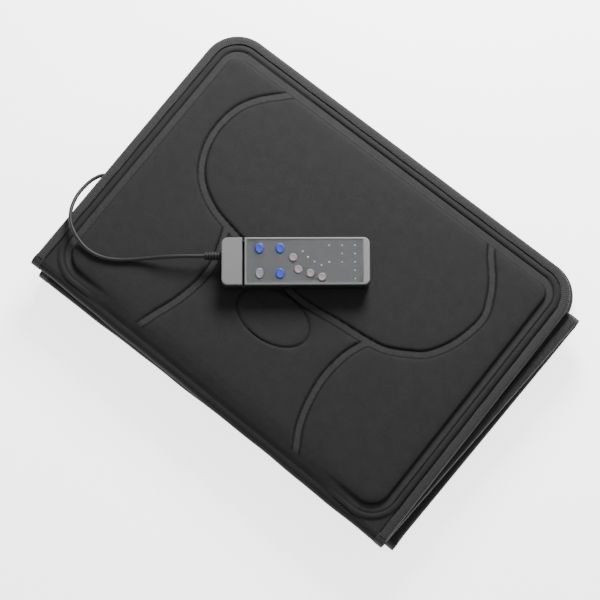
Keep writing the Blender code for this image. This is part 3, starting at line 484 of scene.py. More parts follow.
# ---- moulded pattern, millimetres on the flat mat -------------------------------------
CHANNELS = {
    1: [
        [(-150, -29), (-157, -36.9), (-176, -58), (-188.5, -80.5), (-193.5, -107.2), (-191.7, -132.9),
         (-183.8, -155.3), (-172.2, -173), (-154.7, -187.4), (-130.7, -198.5), (-99.5, -205.1),
         (-60, -212), (-20, -218), (20, -220), (65, -215), (106, -211), (129.5, -205.5),
         (155.2, -191), (171.2, -177.6), (187, -148), (194.4, -108), (185.4, -80.6), (172.6, -60),
         (157, -42), (148, -29)],
        [(-110, -203.5), (-106, -211.5), (-100, -227), (-93.8, -246.5), (-92.6, -273.9),
         (-98.8, -308.5), (-109, -338), (-113, -350.3), (-119, -368)],
        [(108.5, -210.5), (103.5, -217), (95.1, -240.4), (91.6, -273.6), (95.4, -306.6),
         (104.4, -336.8), (116, -358), (124, -374)],
    ],
    2: [
        [(-120, -374), (-130, -402), (-141, -450), (-145, -510), (-138, -570), (-124, -630),
         (-112, -680), (-108, -718)],
        [(124, -380), (132, -405), (142, -452), (146, -510), (139, -570), (125, -630),
         (113, -680), (109, -722)],
        [(-144, -536), (-100, -556), (-50, -567), (0, -570), (50, -567), (100, -556), (145, -536)],
    ],
    3: [
        [(-108, -722), (-112, -760), (-128, -805), (-160, -850), (-196, -885), (-240, -905)],
        [(109, -716), (113, -760), (129, -805), (160, -850), (196, -885), (240, -905)],
        [(0, -745), (0, -800), (0, -900), (0, -1000), (0, -1058)],
    ],
    4: [
        [(0, -1064), (0, -1150), (0, -1250), (0, -1340), (0, -1405)],
        [(-234, -1120), (-180, -1136), (-110, -1142), (-50, -1134), (0, -1118), (50, -1134),
         (110, -1142), (180, -1136), (234, -1120)],
    ],
}
# thin pressed ovals: centre, half sizes, turn
OVALS = {
    1: [(1.0, -256.0, 47.0, 30.5, 0.06)],
    2: [(0.0, -640.0, 52.0, 34.0, 0.0)],
    3: [(-118.0, -960.0, 44.0, 34.0, 0.0), (118.0, -960.0, 44.0, 34.0, 0.0)],
    4: [(-118.0, -1270.0, 46.0, 62.0, 0.0), (118.0, -1270.0, 46.0, 62.0, 0.0)],
}
COVER_INSET = 1.3
CORNER_RADIUS = 45.0
# the border turns at a fold as if the edge lay further out, on a larger radius
FOLD_OFFSET = 12.6
FOLD_RADIUS = 54.0
# hollow for the foam core: its distance from the sides, free ends and folds, its ceiling and corner radius
HOLLOW_SIDE = 30.7
HOLLOW_FREE = 31.0
HOLLOW_FOLD = 17.5
HOLLOW_CEILING = 13.2
HOLLOW_RADIUS = 30.0
COVER_BOTTOM = 2.6
BACK_BOTTOM = 1.25
BACK_TOP = 2.15
PAD_Z = (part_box("panel_1_top_cover")[1].z - bind_low.z) / MM
FLOOR_Z = 13.7
# profiles in millimetres: distances, then heights. BORDER and ROLL run inwards from a bound edge and from a
# fold, above the panel's back. CHANNEL runs outwards from a channel's middle, above its floor.
BORDER = ([0, 11.6, 12.6, 14.4, 16.4, 18.3, 19.3, 19.9, 20.5, 21.4, 28.2,
           29.0, 29.6, 30.2, 31.6, 34.5, 40, 52, 75],
          [8.3, 8.3, 9.2, 10.3, 10.6, 10.2, 9.3, 8.5, 9.2, 9.7, 9.7,
           10.3, 12.0, 13.7, 14.7, 15.5, 16.1, 16.6, 17.0])
ROLL = ([0, 2.2, 4, 6, 8.3, 9.2, 10.4, 14, 18, 26, 38, 60],
        [7.6, 7.9, 9.0, 10.2, 11.5, 11.6, 12.1, 13.3, 14.4, 15.8, 16.6, 17.0])
# the border at a fold gives way to the plain roll over these distances from the side
FOLD_FADE = (42, 115)
# an end of a panel shapes the face this far inwards
END_REACH = 130
# the border channel's floor, painted lighter as a painted sheen: where it starts and ends, with a crease just
# outside each that gets a painted shade line
FLOOR_START = (20.2, 21.4)
FLOOR_END = (28.0, 29.2)
FLOOR_CREASE_SHADE = (19.9, 29.7)
# the tape's inner edge presses a line into the cover
TAPE_CREASE = 11.2
# a panel stops this far from a fold's line
FOLD_GAP = 0.4
# a channel's edge, from its middle
EDGE_LINE = 4.3
CHANNEL = ([0, 2.6, 3.5, 4.1, 4.5, 5.2, 6.4, 9, 14, 22, 34],
           [0.45, 0.45, 0.3, 0, 0.5, 1.75, 2.3, 2.65, 2.9, 3.1, 3.3])


def edge_distances(x, y, panel):
    """Distance from the sides, and from the upper and lower end of a panel."""
    side = np.minimum(x + HALF, HALF - x)
    ends = []
    for edge, sign in ((EDGE[panel - 1], 1), (EDGE[panel], -1)):
        ends.append(sign * (edge[0] + edge[1] * x - y) / math.hypot(1, edge[1]))
    return side, ends[0], ends[1]


def rounded(a, b, radius):
    """Distance from two edges that meet in a rounded corner."""
    near = radius - np.hypot(np.maximum(radius - a, 0), np.maximum(radius - b, 0))
    return np.where((a < radius) & (b < radius), near, np.minimum(a, b))


def cover_height(x, y, panel):
    """Height of a panel's face above its back, millimetres."""
    side, upper, lower = edge_distances(x, y, panel)
    z = np.interp(side, *BORDER)
    for distance, free in ((upper, panel == 1), (lower, panel == 4)):
        if free:
            end = np.interp(rounded(side, distance, CORNER_RADIUS), *BORDER)
        else:
            near = np.interp(rounded(side, distance + FOLD_OFFSET, FOLD_RADIUS), *BORDER)
            middle = np.minimum(np.interp(side, *BORDER), np.interp(distance, *ROLL))
            share = 1 - smoothstep(side, *FOLD_FADE)
            end = near * share + middle * (1 - share)
        z = np.where(distance < END_REACH, end, z)
    far = channel_distance(x, y, panel)[0]
    depth = np.maximum(PAD_Z - FLOOR_Z - np.interp(far, *CHANNEL), 0)
    keep = np.clip((z - FLOOR_Z) / (PAD_Z - FLOOR_Z), 0, 1)
    z = z - depth * keep
    for cx, cy, hx, hy, turn in OVALS[panel]:
        u = (x - cx) * math.cos(turn) + (y - cy) * math.sin(turn)
        v = (y - cy) * math.cos(turn) - (x - cx) * math.sin(turn)
        r = np.hypot(u / hx, v / hy)
        far = (r - 1) * 0.5 * (hx + hy)
        z = z - 1.5 * np.exp(-(far / 1.25) ** 2) - 0.5 * np.exp(-(far / 4.5) ** 2)
    z = z + 0.22 * ripple(x, y, panel) * smoothstep(z, 12, 16.5)
    edge = np.minimum(side, 99)
    if panel == 1:
        edge = rounded(side, upper, CORNER_RADIUS)
    if panel == 4:
        edge = rounded(side, lower, CORNER_RADIUS)
    z = z - 0.9 * np.exp(-((edge - TAPE_CREASE) / 0.8) ** 2)
    return np.minimum(z, PAD_Z)


def cover_shade(x, y, z, panel):
    """Painted sheen where the fabric is pressed flat, and painted shade for how deep each point lies in a
    crease.
    """
    side, upper, lower = edge_distances(x, y, panel)
    border, fade = side, np.ones_like(side)
    for distance, free in ((upper, panel == 1), (lower, panel == 4)):
        if free:
            gap = rounded(side, distance, CORNER_RADIUS)
        else:
            gap = rounded(side, distance + FOLD_OFFSET, FOLD_RADIUS)
            fade = np.where(gap < side - 0.01, 1 - smoothstep(side, 40, 90), fade)
        border = np.minimum(border, gap)
    # painted sheen on the border channel's floor
    pressed_painted_sheen = fade * smoothstep(border, *FLOOR_START) * (1 - smoothstep(border, *FLOOR_END))
    # painted shade lines in the creases at both sides of the border channel's floor, then at the tape's inner
    # edge
    outer, inner = FLOOR_CREASE_SHADE
    crease_painted_shade = fade * (0.8 * np.exp(-((border - outer) / 0.75) ** 2) + np.exp(-((border - inner) / 1.0) ** 2))
    crease_painted_shade = crease_painted_shade + 0.9 * np.exp(-((side - 11.4) / 0.9) ** 2)
    far = channel_distance(x, y, panel)[0]
    inside = smoothstep(z, 11.5, 12.8) * smoothstep(border, 29, 31)
    inside = np.where(fade < 1, smoothstep(z, 12.2, 13.2), inside)
    # painted sheen on the channels' floors
    pressed_painted_sheen = np.maximum(pressed_painted_sheen, (1 - smoothstep(far, 3.0, 3.9)) * inside)
    # painted shade along the channels' edges, wider on the pad side
    spread = np.where(far > EDGE_LINE, 1.35, 0.6)
    crease_painted_shade = crease_painted_shade + np.exp(-((far - EDGE_LINE) / spread) ** 2) * inside
    # painted shade in the grooves of the pressed ovals
    for cx, cy, hx, hy, turn in OVALS[panel]:
        u = (x - cx) * math.cos(turn) + (y - cy) * math.sin(turn)
        v = (y - cy) * math.cos(turn) - (x - cx) * math.sin(turn)
        crease_painted_shade = crease_painted_shade + 0.6 * np.exp(-(((np.hypot(u / hx, v / hy) - 1) * 0.5 * (hx + hy)) / 1.0) ** 2)
    return np.clip(pressed_painted_sheen, 0, 1), np.clip(crease_painted_shade, 0, 1)


def channel_distance(x, y, panel):
    """Distance from each point to the nearest channel's middle, and the nearest point there."""
    best = np.full(x.shape, 1e3)
    foot_x, foot_y = x.copy(), y.copy()
    for points in CHANNELS[panel]:
        route = smooth_curve(points, 2.0)
        low, high = route.min(0) - 40, route.max(0) + 40
        near = (x > low[0]) & (x < high[0]) & (y > low[1]) & (y < high[1])
        px, py = x[near], y[near]
        found, qx, qy = np.full(px.shape, 1e3), px.copy(), py.copy()
        for (ax, ay), (bx, by) in zip(route, route[1:]):
            dx, dy = bx - ax, by - ay
            t = np.clip(((px - ax) * dx + (py - ay) * dy) / (dx * dx + dy * dy), 0, 1)
            gap = np.hypot(px - ax - t * dx, py - ay - t * dy)
            closer = gap < found
            found = np.where(closer, gap, found)
            qx = np.where(closer, ax + t * dx, qx)
            qy = np.where(closer, ay + t * dy, qy)
        closer = found < best[near]
        best[near] = np.where(closer, found, best[near])
        foot_x[near] = np.where(closer, qx, foot_x[near])
        foot_y[near] = np.where(closer, qy, foot_y[near])
    return best, foot_x, foot_y


def snap_to_lines(x, y, panel, reach):
    """Move grid points onto the channels' edge lines and the pressed ovals, so that they stay crisp."""
    far, foot_x, foot_y = channel_distance(x, y, panel)
    move = (np.abs(far - EDGE_LINE) < reach) & (far > 0.1)
    scale = np.where(move, EDGE_LINE / np.maximum(far, 0.1), 1.0)
    x, y = foot_x + (x - foot_x) * scale, foot_y + (y - foot_y) * scale
    for cx, cy, hx, hy, turn in OVALS[panel]:
        u = (x - cx) * math.cos(turn) + (y - cy) * math.sin(turn)
        v = (y - cy) * math.cos(turn) - (x - cx) * math.sin(turn)
        r = np.maximum(np.hypot(u / hx, v / hy), 0.01)
        onto = np.abs(r - 1) * np.hypot(u, v) / r < reach * 0.8
        x = np.where(onto, cx + (x - cx) / r, x)
        y = np.where(onto, cy + (y - cy) / r, y)
    return x, y


def lines(parts):
    """Grid lines from (start, end, step) parts."""
    values = []
    for start, end, step in parts:
        count = max(int(round(abs(end - start) / step)), 1)
        values += list(np.linspace(start, end, count, endpoint=False))
    return np.array(values + [parts[-1][1]])


def panel_grid(panel, fine, inset):
    """Grid of flat mat points that fills a panel's rounded outline, denser where fine is set."""
    half = HALF - inset
    band = 36.0
    mid = 1.45 if fine else 2.8
    if fine:
        across = lines([(-half, -half + band, 1.15), (-half + band, -52, mid), (-52, 54, 1.3),
                        (54, half - band, mid), (half - band, half, 1.15)])
        v_parts = [(1.0, 0.904, 0.0031), (0.904, 0.41, 0.0039), (0.41, 0.22, 0.0034),
                   (0.22, 0.09, 0.0039), (0.09, 0.0, 0.0034)]
    else:
        across = lines([(-half, -half + band, 1.5), (-half + band, half - band, mid),
                        (half - band, half, 1.5)])
        v_parts = [(1.0, 0.9, 0.0042), (0.9, 0.1, 0.008), (0.1, 0.0, 0.0042)]
    v = lines(v_parts)[:, None]
    u = across[None, :] / half
    top_inset = inset if panel == 1 else FOLD_GAP
    low_inset = inset if panel == 4 else FOLD_GAP
    nominal = EDGE[panel][0] + (EDGE[panel - 1][0] - EDGE[panel][0]) * v
    radius = CORNER_RADIUS - inset
    width = np.full(v.shape, half)
    for free, gap in ((panel == 1, EDGE[0][0] - inset - nominal), (panel == 4, nominal - EDGE[4][0] - inset)):
        if free:
            inside = np.clip(radius - np.maximum(gap, 0), 0, radius)
            width = np.minimum(width, half - radius + np.sqrt(radius ** 2 - inside ** 2))
    x = u * width
    top = EDGE[panel - 1][0] + EDGE[panel - 1][1] * x - top_inset
    low = EDGE[panel][0] + EDGE[panel][1] * x + low_inset
    y = low + (top - low) * v
    x, y = x[::-1], y[::-1]
    sx, sy = snap_to_lines(x, y, panel, 0.78 if fine else 1.0)
    side, upper, lower = edge_distances(x, y, panel)
    inner = (side > 31) & (upper > 14) & (lower > 14)
    return np.where(inner, sx, x), np.where(inner, sy, y)


def loop_of(rows, cols):
    """Indices round a grid, counter-clockwise from its lowest left corner."""
    index = np.arange(rows * cols).reshape(rows, cols)
    return list(index[0, :]) + list(index[1:, -1]) + list(index[-1, -2::-1]) + list(index[-2:0:-1, 0])


def cavity_outline(rim, panel):
    """Outline of the hollow for the foam core, rounded at the folds to stay under the border channel."""
    low_gap = HOLLOW_FREE if panel == 4 else HOLLOW_FOLD
    top_gap = HOLLOW_FREE if panel == 1 else HOLLOW_FOLD
    middle = (EDGE[panel - 1][0] + EDGE[panel][0]) / 2
    length = EDGE[panel - 1][0] - EDGE[panel][0]
    cavity = rim.copy()
    cavity[:, 0] *= (HALF - HOLLOW_SIDE) / (HALF - COVER_INSET)
    shift = (top_gap - low_gap) / 2
    cavity[:, 1] = (rim[:, 1] - middle) * (length - low_gap - top_gap) / length + middle - shift
    side, upper, lower = edge_distances(cavity[:, 0], cavity[:, 1], panel)
    radius = HOLLOW_RADIUS
    for distance, gap, down, fold in ((upper, top_gap, 1, panel > 1), (lower, low_gap, -1, panel < 4)):
        a, b = radius - (side - HOLLOW_SIDE), radius - (distance - gap)
        corner = (a > 0) & (b > 0) & fold
        scale = radius / np.maximum(np.hypot(a, b), 1.0)
        cavity[:, 0] -= np.sign(cavity[:, 0]) * np.where(corner, a - a * scale, 0)
        cavity[:, 1] -= down * np.where(corner, b - b * scale, 0)
    return cavity


def cut_with(obj, tool, operation):
    """Change a piece by a boolean with a tool, which is then deleted."""
    step = obj.modifiers.new("cut", "BOOLEAN")
    step.operation = operation
    step.solver = "EXACT"
    step.object = tool
    bpy.context.view_layer.update()
    result = bpy.data.meshes.new_from_object(obj.evaluated_get(bpy.context.evaluated_depsgraph_get()))
    obj.modifiers.clear()
    obj.data = result
    bpy.data.objects.remove(tool)


def foam_core(panel, outline):
    """The foam core, trimmed to the rounded hollow of the moulded face."""
    node = f"panel_{panel}_foam_core"
    middle = outline.mean(0)
    low = middle + (outline - middle) * 0.997
    high = low.copy()
    low[:, 2], high[:, 2] = COVER_BOTTOM + 0.05, HOLLOW_CEILING - 0.1
    n = len(low)
    faces = [(i, (i + 1) % n, n + (i + 1) % n, n + i) for i in range(n)]
    faces += [tuple(range(n - 1, -1, -1)), tuple(range(n, 2 * n))]
    tool = mesh_object("core_cutter", placed(np.vstack([low, high]), panel), faces, M["foam"], recalc=True)
    core = bpy.data.objects.new(f"core_{panel}", NODES[node].data.copy())
    bpy.context.scene.collection.objects.link(core)
    cut_with(core, tool, "INTERSECT")
    core.data.materials.clear()
    core.data.materials.append(M["foam"])
    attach(core, f"panel_{panel}")
    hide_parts(node)


def panel_cover(panel):
    """Moulded face of a panel: a closed shell that is hollow over the foam core."""
    x, y = panel_grid(panel, panel == 1, COVER_INSET)
    z = cover_height(x, y, panel)
    rows, cols = x.shape
    top = np.stack([x, y, z], 2).reshape(-1, 3)
    index = np.arange(rows * cols).reshape(rows, cols)
    quads = np.stack([index[:-1, :-1], index[:-1, 1:], index[1:, 1:], index[1:, :-1]], 2).reshape(-1, 4)
    faces = [tuple(q) for q in quads.tolist()]
    loop = loop_of(rows, cols)
    rim = top[loop].copy()
    rim[:, 2] = COVER_BOTTOM
    cavity = cavity_outline(rim, panel)
    foam_core(panel, cavity)
    ceiling = cavity.copy()
    ceiling[:, 2] = HOLLOW_CEILING
    base = len(top)
    n = len(loop)
    verts = np.vstack([top, rim, cavity, ceiling])
    for i in range(n):
        j = (i + 1) % n
        faces.append((base + i, base + j, loop[j], loop[i]))
        faces.append((base + i, base + n + i, base + n + j, base + j))
        faces.append((base + n + i, base + 2 * n + i, base + 2 * n + j, base + n + j))
    faces.append(tuple(base + 2 * n + i for i in range(n - 1, -1, -1)))
    obj = mesh_object(f"cover_{panel}", placed(verts, panel), faces, M["cover"])
    # the two attributes carry the painted sheen of pressed fabric and the painted shade of creases, read by
    # the knit's colour
    for name, values in zip(("pressed_painted_sheen", "crease_painted_shade"), cover_shade(x, y, z, panel)):
        full = np.concatenate([values.ravel(), np.zeros(3 * n)]).astype(np.float32)
        obj.data.attributes.new(name, "FLOAT", "POINT").data.foreach_set("value", full)
    obj.data.set_sharp_from_angle(angle=math.radians(70))
    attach(obj, f"panel_{panel}")
    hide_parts(f"panel_{panel}_top_cover")


def panel_back(panel):
    """Woven back: a thin closed sheet with a slight ridge inside the binding."""
    x, y = panel_grid(panel, False, COVER_INSET)
    x, y = x[::2], y[::2]
    side, upper, lower = edge_distances(x, y, panel)
    edge = np.minimum(side, np.minimum(upper if panel == 1 else 99, lower if panel == 4 else 99))
    low = BACK_BOTTOM + 0.12 * ripple(x, y, panel + 5) * smoothstep(edge, 12, 30)
    low = low + 0.25 * np.exp(-((edge - 12.0) / 1.2) ** 2)
    rows, cols = x.shape
    bottom = np.stack([x, y, low], 2).reshape(-1, 3)
    upper_side = bottom.copy()
    upper_side[:, 2] = BACK_TOP
    index = np.arange(rows * cols).reshape(rows, cols)
    quads = np.stack([index[:-1, :-1], index[1:, :-1], index[1:, 1:], index[:-1, 1:]], 2).reshape(-1, 4)
    faces = [tuple(q) for q in quads.tolist()]
    count = rows * cols
    faces += [tuple(count + np.array(q[::-1])) for q in quads.tolist()]
    loop = loop_of(rows, cols)
    for i, a in enumerate(loop):
        b = loop[(i + 1) % len(loop)]
        faces.append((a, b, count + b, count + a))
    obj = mesh_object(f"backing_{panel}", placed(np.vstack([bottom, upper_side]), panel), faces, M["back"])
    obj.data.set_sharp_from_angle(angle=math.radians(60))
    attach(obj, f"panel_{panel}")
    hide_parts(f"panel_{panel}_back_cover")


# ---- edge binding ---------------------------------------------------------------------
TAPE = [(10.6, 8.75), (10.5, 9.35), (9.6, 9.6), (7.5, 9.75), (5.0, 9.8), (3.0, 9.6), (1.4, 9.0), (0.45, 8.0),
        (0.0, 6.4), (-0.1, 4.8), (0.0, 3.2), (0.45, 1.7), (1.4, 0.65), (3.0, 0.2), (5.0, 0.05), (7.5, 0.0),
        (9.7, 0.1), (10.5, 0.45), (10.6, 0.95), (9.6, 1.12), (5.0, 1.1), (2.2, 1.3), (1.2, 2.4),
        (1.05, 4.8), (1.2, 7.4), (2.2, 8.35), (5.0, 8.5), (9.6, 8.6)]


def outline_route(panel):
    """Points and inward directions along a panel's bound edge or edges, in flat millimetres."""
    r = CORNER_RADIUS

    def straight(a, b, inward, step=3.0):
        n = max(int(math.dist(a, b) / step), 2)
        return [((a[0] + (b[0] - a[0]) * i / n, a[1] + (b[1] - a[1]) * i / n), inward) for i in range(n + 1)]

    def corner(cx, cy, start):
        steps = 22
        out = []
        for i in range(steps + 1):
            t = start + math.pi / 2 * i / steps
            out.append(((cx + r * math.cos(t), cy + r * math.sin(t)), (-math.cos(t), -math.sin(t))))
        return out

    def end_at(edge, x):
        return EDGE[edge][0] + EDGE[edge][1] * x

    right, left = (-1, 0), (1, 0)
    if panel == 1:
        route = straight((HALF, end_at(1, HALF) + FOLD_GAP), (HALF, -r), right)[:-1]
        route += corner(HALF - r, -r, 0) + straight((HALF - r, 0), (-HALF + r, 0), (0, -1))[1:-1]
        route += corner(-HALF + r, -r, math.pi / 2)
        route += straight((-HALF, -r), (-HALF, end_at(1, -HALF) + FOLD_GAP), left)[1:]
        return [route]
    if panel == 4:
        low = EDGE[4][0]
        route = straight((-HALF, end_at(3, -HALF) - FOLD_GAP), (-HALF, low + r), left)[:-1]
        route += corner(-HALF + r, low + r, math.pi)
        route += straight((-HALF + r, low), (HALF - r, low), (0, 1))[1:-1]
        route += corner(HALF - r, low + r, 1.5 * math.pi)
        route += straight((HALF, low + r), (HALF, end_at(3, HALF) - FOLD_GAP), right)[1:]
        return [route]
    routes = []
    for x, inward in ((HALF, right), (-HALF, left)):
        low, high = end_at(panel, x) + FOLD_GAP, end_at(panel - 1, x) - FOLD_GAP
        routes.append(straight((x, low), (x, high), inward))
    return routes


def binding(name, panel, route, node):
    stations = []
    for (x, y), (nx, ny) in route:
        wobble = 0.22 * math.sin(0.09 * (x + 1.3 * y) + panel) + 0.12 * math.sin(0.23 * (y - x))
        lift = 0.15 * math.sin(0.06 * (x - y) + 2 * panel)
        stations.append([(x + nx * (inset + wobble * (inset > 4)), y + ny * (inset + wobble * (inset > 4)),
                          z + lift * (inset > 2)) for inset, z in TAPE])
    stations = np.array([placed(s, panel) for s in stations])
    obj = sweep(name, stations, M["tape"], 60)
    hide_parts(node)
    return obj


def cut_box(obj, low, high):
    """Cut a box out of a piece."""
    bm = bmesh.new()
    bmesh.ops.create_cube(bm, size=1.0)
    for v in bm.verts:
        v.co = Vector([low[k] if v.co[k] < 0 else high[k] for k in range(3)])
    mesh = bpy.data.meshes.new("cutter")
    bm.to_mesh(mesh)
    bm.free()
    tool = bpy.data.objects.new("cutter", mesh)
    bpy.context.scene.collection.objects.link(tool)
    cut_with(obj, tool, "DIFFERENCE")


# the boxes that notch the tape reach this far to both sides of the mat's edge, and below it
CUT_REACH = 0.02


def all_bindings():
    for panel, nodes in ((1, ["panel_1_binding"]), (2, ["panel_2_binding_right", "panel_2_binding_left"]),
                         (3, ["panel_3_binding_right", "panel_3_binding_left"]), (4, ["panel_4_binding"])):
        for number, (route, node) in enumerate(zip(outline_route(panel), nodes), 1):
            tape = binding(f"tape_{panel}_{number}", panel, route, node)
            if panel == 1:
                for piece, below, above in (("lead_gland", 6.0, 0.5), ("dc_inlet", 0.3, 0.3)):
                    low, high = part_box(piece)
                    notch_top = bind_low.z + 7.4 * MM
                    cut_box(tape, (bind_low.x - CUT_REACH, low.y - below * MM, bind_low.z - CUT_REACH),
                            (bind_low.x + CUT_REACH, high.y + above * MM, notch_top))
            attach(tape, f"panel_{panel}")


# ---- fabric over the folds ------------------------------------------------------------
def fold_sleeve(fold):
    """Cover fabric round a closed fold, with the binding carried round both its ends."""
    face_fold = fold == 2
    node = f"fold_{fold}_gusset"
    point = np.array(JOINTS[f"fold_{fold}"]["pos_m"])
    axis = np.array(JOINTS[f"fold_{fold}"]["axis"])
    axis = axis * np.sign(axis[0])
    low, high = (np.array(c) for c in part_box(node))
    away = np.cross([0, 0, 1], axis) * (-1 if low[1] < point[1] - 0.008 else 1)
    if np.dot(away, (low + high) / 2 - point) < 0:
        away = -away
    outer = (high[2] - low[2]) / 2 / MM
    reach = 8.6
    flap = 0.0 if face_fold else 3.0
    inset = 0.0013
    half = HALF / 1000.0 - inset
    steps = 22

    def section(out_reach, outer_z, thickness, wobble):
        outside, inside = [(-flap, outer_z - 0.25)], [(-flap, outer_z - 0.7)]
        for i in range(steps + 1):
            t = math.pi * i / steps
            wide = abs(math.sin(t)) ** 0.8
            outside.append((wide * (out_reach + wobble), math.cos(t) * outer_z))
            inner = outer_z - 0.7 - (thickness - 0.7) * min(wide * 2, 1)
            inside.append((wide * (out_reach + wobble - thickness), math.cos(t) * inner))
        outside.append((-flap, 0.25 - outer_z))
        inside.append((-flap, 0.7 - outer_z))
        return outside + inside[::-1]

    def tube(name, starts, ends, out_reach, outer_z, thickness, mat, slot_name):
        count = max(int((ends - starts) / 0.005), 3)
        stations = []
        for i in range(count + 1):
            s = starts + (ends - starts) * i / count
            wobble = 0.35 * math.sin(s * 41 + fold) + 0.2 * math.sin(s * 97 + 2 * fold)
            base = point + axis * s
            stations.append([base + away * o * MM + np.array([0, 0, z * MM])
                             for o, z in section(out_reach, outer_z, thickness, wobble)])
        piece = sweep(name, stations, mat, 60)
        return piece

    centre_shift = np.dot(np.array([(low[0] + high[0]) / 2, (low[1] + high[1]) / 2, point[2]]) - point, axis)
    band = 0.0105
    a, b = centre_shift - half, centre_shift + half
    body = tube(f"fold_cover_{fold}", a + band * 0.9, b - band * 0.9, reach, outer - 0.15, 1.6, M["fold"],
                "cover_fabric")
    tape_z = outer + (0.3 if face_fold else 0.9)
    left = tube(f"fold_tape_{fold}_left", a - inset, a + band, reach + 0.5, tape_z, 2.6, M["tape"],
                "binding_tape")
    right = tube(f"fold_tape_{fold}_right", b - band, b + inset, reach + 0.5, tape_z, 2.6, M["tape"],
                 "binding_tape")
    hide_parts(node)
    upper = point + np.array([0, 0, outer * MM])
    lower = point - np.array([0, 0, outer * MM])
    ends = [(f"panel_{fold}", upper), (f"panel_{fold + 1}", lower)]
    if face_fold:
        ends.reverse()
    for piece in (body, left, right):
        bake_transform(piece)


# ---- lead -----------------------------------------------------------------------------
LEAD_ROUTE = [
    (0, 0, 0), (-4.2, -4.0, 0.1), (-7.4, -9.5, 0.5), (-9.8, -17, 1.5), (-10.8, -26, 3), (-10.8, -35, 5),
    (-9.4, -45, 7.6), (-6, -55.5, 10.4), (-1, -65, 12.7), (6, -73, 14.5), (15.5, -79.5, 15.8),
    (26, -84, 16.1), (38, -86.8, 16), (50.5, -86.8, 16), (63, -83.6, 15.9), (75, -77.6, 15.9),
    (86.5, -69, 16), (97.5, -59.6, 17), (108, -50.6, 19.2), (118.5, -41.8, 22), (129.2, -33.2, 24.5),
    (138.6, -25.7, 25.8), (148, -18.3, 26.3), (157.4, -10.78, 26.3),
]
LEAD_START = Vector((-0.27063, -0.05098, 0.0568))
LEAD_DIAMETER = 4.5 * MM


def strain_relief():
    """Boot with slanting rings round it, where the lead enters the handset."""
    tip = np.array(LEAD_START) + np.array(LEAD_ROUTE[-1]) * MM
    ahead = np.array(LEAD_ROUTE[-1], float) - np.array(LEAD_ROUTE[-2], float)
    ahead[2] = 0
    ahead /= np.linalg.norm(ahead)
    beside, up = np.cross([0, 0, 1], ahead), np.array([0, 0, 1.0])
    rib_pitch, collar = 3.55, 18.0
    stations = []
    for s in np.linspace(0.15, 19.9, 150):
        ring = []
        for a in np.linspace(0, math.tau, 28, endpoint=False):
            phase = (s - 2.2 + 1.3 * math.sin(a)) % rib_pitch / rib_pitch
            rib = smoothstep(phase, 0.1, 0.24) * (1 - smoothstep(phase, 0.68, 0.82))
            body = 3.2 + 0.4 * smoothstep(s, 0, 14)
            grow = 1.75 * rib if s < collar else 0.9 * float(smoothstep(s, collar, 18.4))
            fade = float(smoothstep(s, 0, 1.0))
            r = (body + grow * (0.35 + 0.65 * fade)) * MM
            ring.append(tip + ahead * s * MM + (beside * math.cos(a) + up * math.sin(a)) * r)
        stations.append(ring)
    boot = sweep("relief_boot", stations, M["rubber"], 60)
    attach(boot, "handset")
    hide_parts("handset_strain_relief")
    return boot


def lead():
    route = np.array([LEAD_START]) + np.array(LEAD_ROUTE) * MM
    path = smooth_curve(route, 1.3 * MM)
    tangents = np.gradient(path, axis=0)
    tangents /= np.linalg.norm(tangents, axis=1)[:, None]
    normal = np.array([0.0, 0.0, 1.0])
    sides = 20
    stations = []
    for p, t in zip(path, tangents):
        normal = normal - t * np.dot(normal, t)
        normal /= np.linalg.norm(normal)
        other = np.cross(t, normal)
        stations.append([p + (normal * math.cos(a) + other * math.sin(a)) * LEAD_DIAMETER / 2
                         for a in np.linspace(0, math.tau, sides, endpoint=False)])
    tube = sweep("lead_tube", stations, M["rubber"], 80)
    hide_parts("handset_lead")
    strain_relief()
    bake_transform(tube)


lead()


# ---- handset buttons ------------------------------------------------------------------
# direction of the handset's long axis
HANDSET_TURN = math.atan2(0.62115, 0.78369)


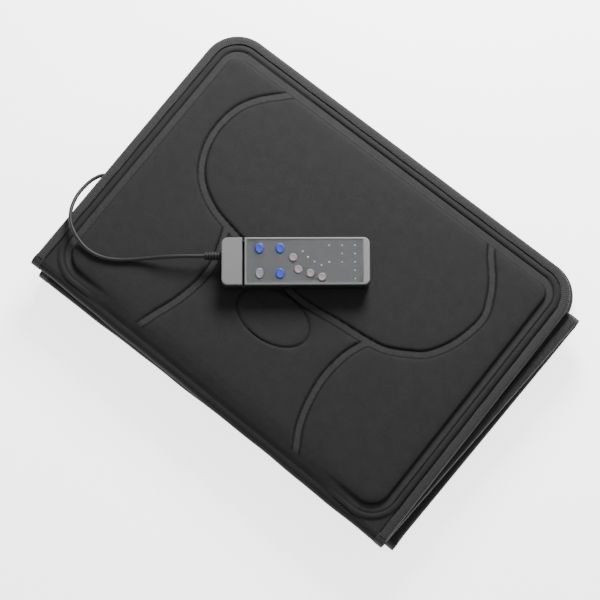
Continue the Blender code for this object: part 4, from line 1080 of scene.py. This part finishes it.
def button_piece(node, key):
    """Domed button over its hidden flange, from the CAD node's outline."""
    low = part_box(node)[0]
    source = NODES[node].data
    co = np.array([v.co for v in source.vertices], float)
    top = co[:, 2].max()
    ring = co[np.abs(co[:, 2] - (top - 0.0005)) < 0.0001]
    centre = ring.mean(0)[:2]
    d = ring[:, :2] - centre
    c, s = math.cos(HANDSET_TURN), math.sin(HANDSET_TURN)
    hx = np.abs(d[:, 0] * c + d[:, 1] * s).max()
    hy = np.abs(-d[:, 0] * s + d[:, 1] * c).max()
    flange = 0.0010
    n = 40
    rings = [(flange, low.z), (flange, low.z + 0.0012), (flange - 0.0002, low.z + 0.0014),
             (0.0, low.z + 0.0014), (0.0, top - 0.0008), (-0.0002, top - 0.0004),
             (-0.0006, top - 0.00012), (-0.0014, top)]
    verts, faces = [], []
    for grow, z in rings:
        for i in range(n):
            a = math.tau * i / n
            u, v = (hx + grow) * math.cos(a), (hy + grow) * math.sin(a)
            verts.append((centre[0] + u * c - v * s, centre[1] + u * s + v * c, z))
    dish = [(0.62, -0.00012), (0.3, -0.00028)]
    for share, drop in dish:
        for i in range(n):
            a = math.tau * i / n
            u, v = hx * share * math.cos(a), hy * share * math.sin(a)
            verts.append((centre[0] + u * c - v * s, centre[1] + u * s + v * c, top + drop))
    count = len(rings) + len(dish)
    for r in range(count - 1):
        for i in range(n):
            j = (i + 1) % n
            faces.append((r * n + i, r * n + j, (r + 1) * n + j, (r + 1) * n + i))
    faces.append(tuple(range(n - 1, -1, -1)))
    faces.append(tuple(range((count - 1) * n, count * n)))
    piece = mesh_object(f"cap_{node}", verts, faces, M[key], recalc=True)
    piece.data.set_sharp_from_angle(angle=math.radians(50))
    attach(piece, node)
    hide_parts(node)


for button in ("program_button", "intensity_button", "heat_button"):
    button_piece(button, "blue")
button_piece("power_button", "lilac")
for button in ("zone_1_button", "zone_2_button", "zone_3_button", "zone_4_button"):
    button_piece(button, "white")

for number in (1, 2, 3, 4):
    panel_cover(number)
    panel_back(number)
all_bindings()
for number in (1, 2, 3):
    fold_sleeve(number)


# ---- stage ----------------------------------------------------------------------------
def stage():
    floor = Shader("floor_white", (0.9, 0.9, 0.9), 0.9)
    floor.tint(floor.noise(3.0, 2.0), (0.895, 0.895, 0.895), (0.905, 0.905, 0.905))
    floor.set("Emission Color", (1.0, 1.0, 1.0, 1.0))
    floor.set("Emission Strength", 2.8)
    size = 6.0
    plane = mesh_object("floor", [(-size, -size, 0), (size, -size, 0), (size, size, 0), (-size, size, 0)],
                        [(0, 1, 2, 3)], floor.mat, smooth=False)
    plane.location.z = -0.0005
    world = bpy.data.worlds.new("world")
    bpy.context.scene.world = world
    world.use_nodes = True
    background = world.node_tree.nodes["Background"]
    background.inputs["Color"].default_value = (1.0, 1.0, 1.0, 1.0)
    background.inputs["Strength"].default_value = 0.46

    def area(name, place, target, width, power):
        data = bpy.data.lights.new(name, "AREA")
        data.shape = "DISK"
        data.size = width
        data.energy = power
        light = bpy.data.objects.new(name, data)
        bpy.context.scene.collection.objects.link(light)
        light.location = place
        light.rotation_euler = (Vector(target) - Vector(place)).to_track_quat("-Z", "Y").to_euler()

    area("key", (-0.42, 0.9, 0.78), (0.0, 0.1, 0), 0.6, 43)
    area("side", (1.5, 1.0, 1.6), (0, 0, 0), 1.2, 5)


stage()
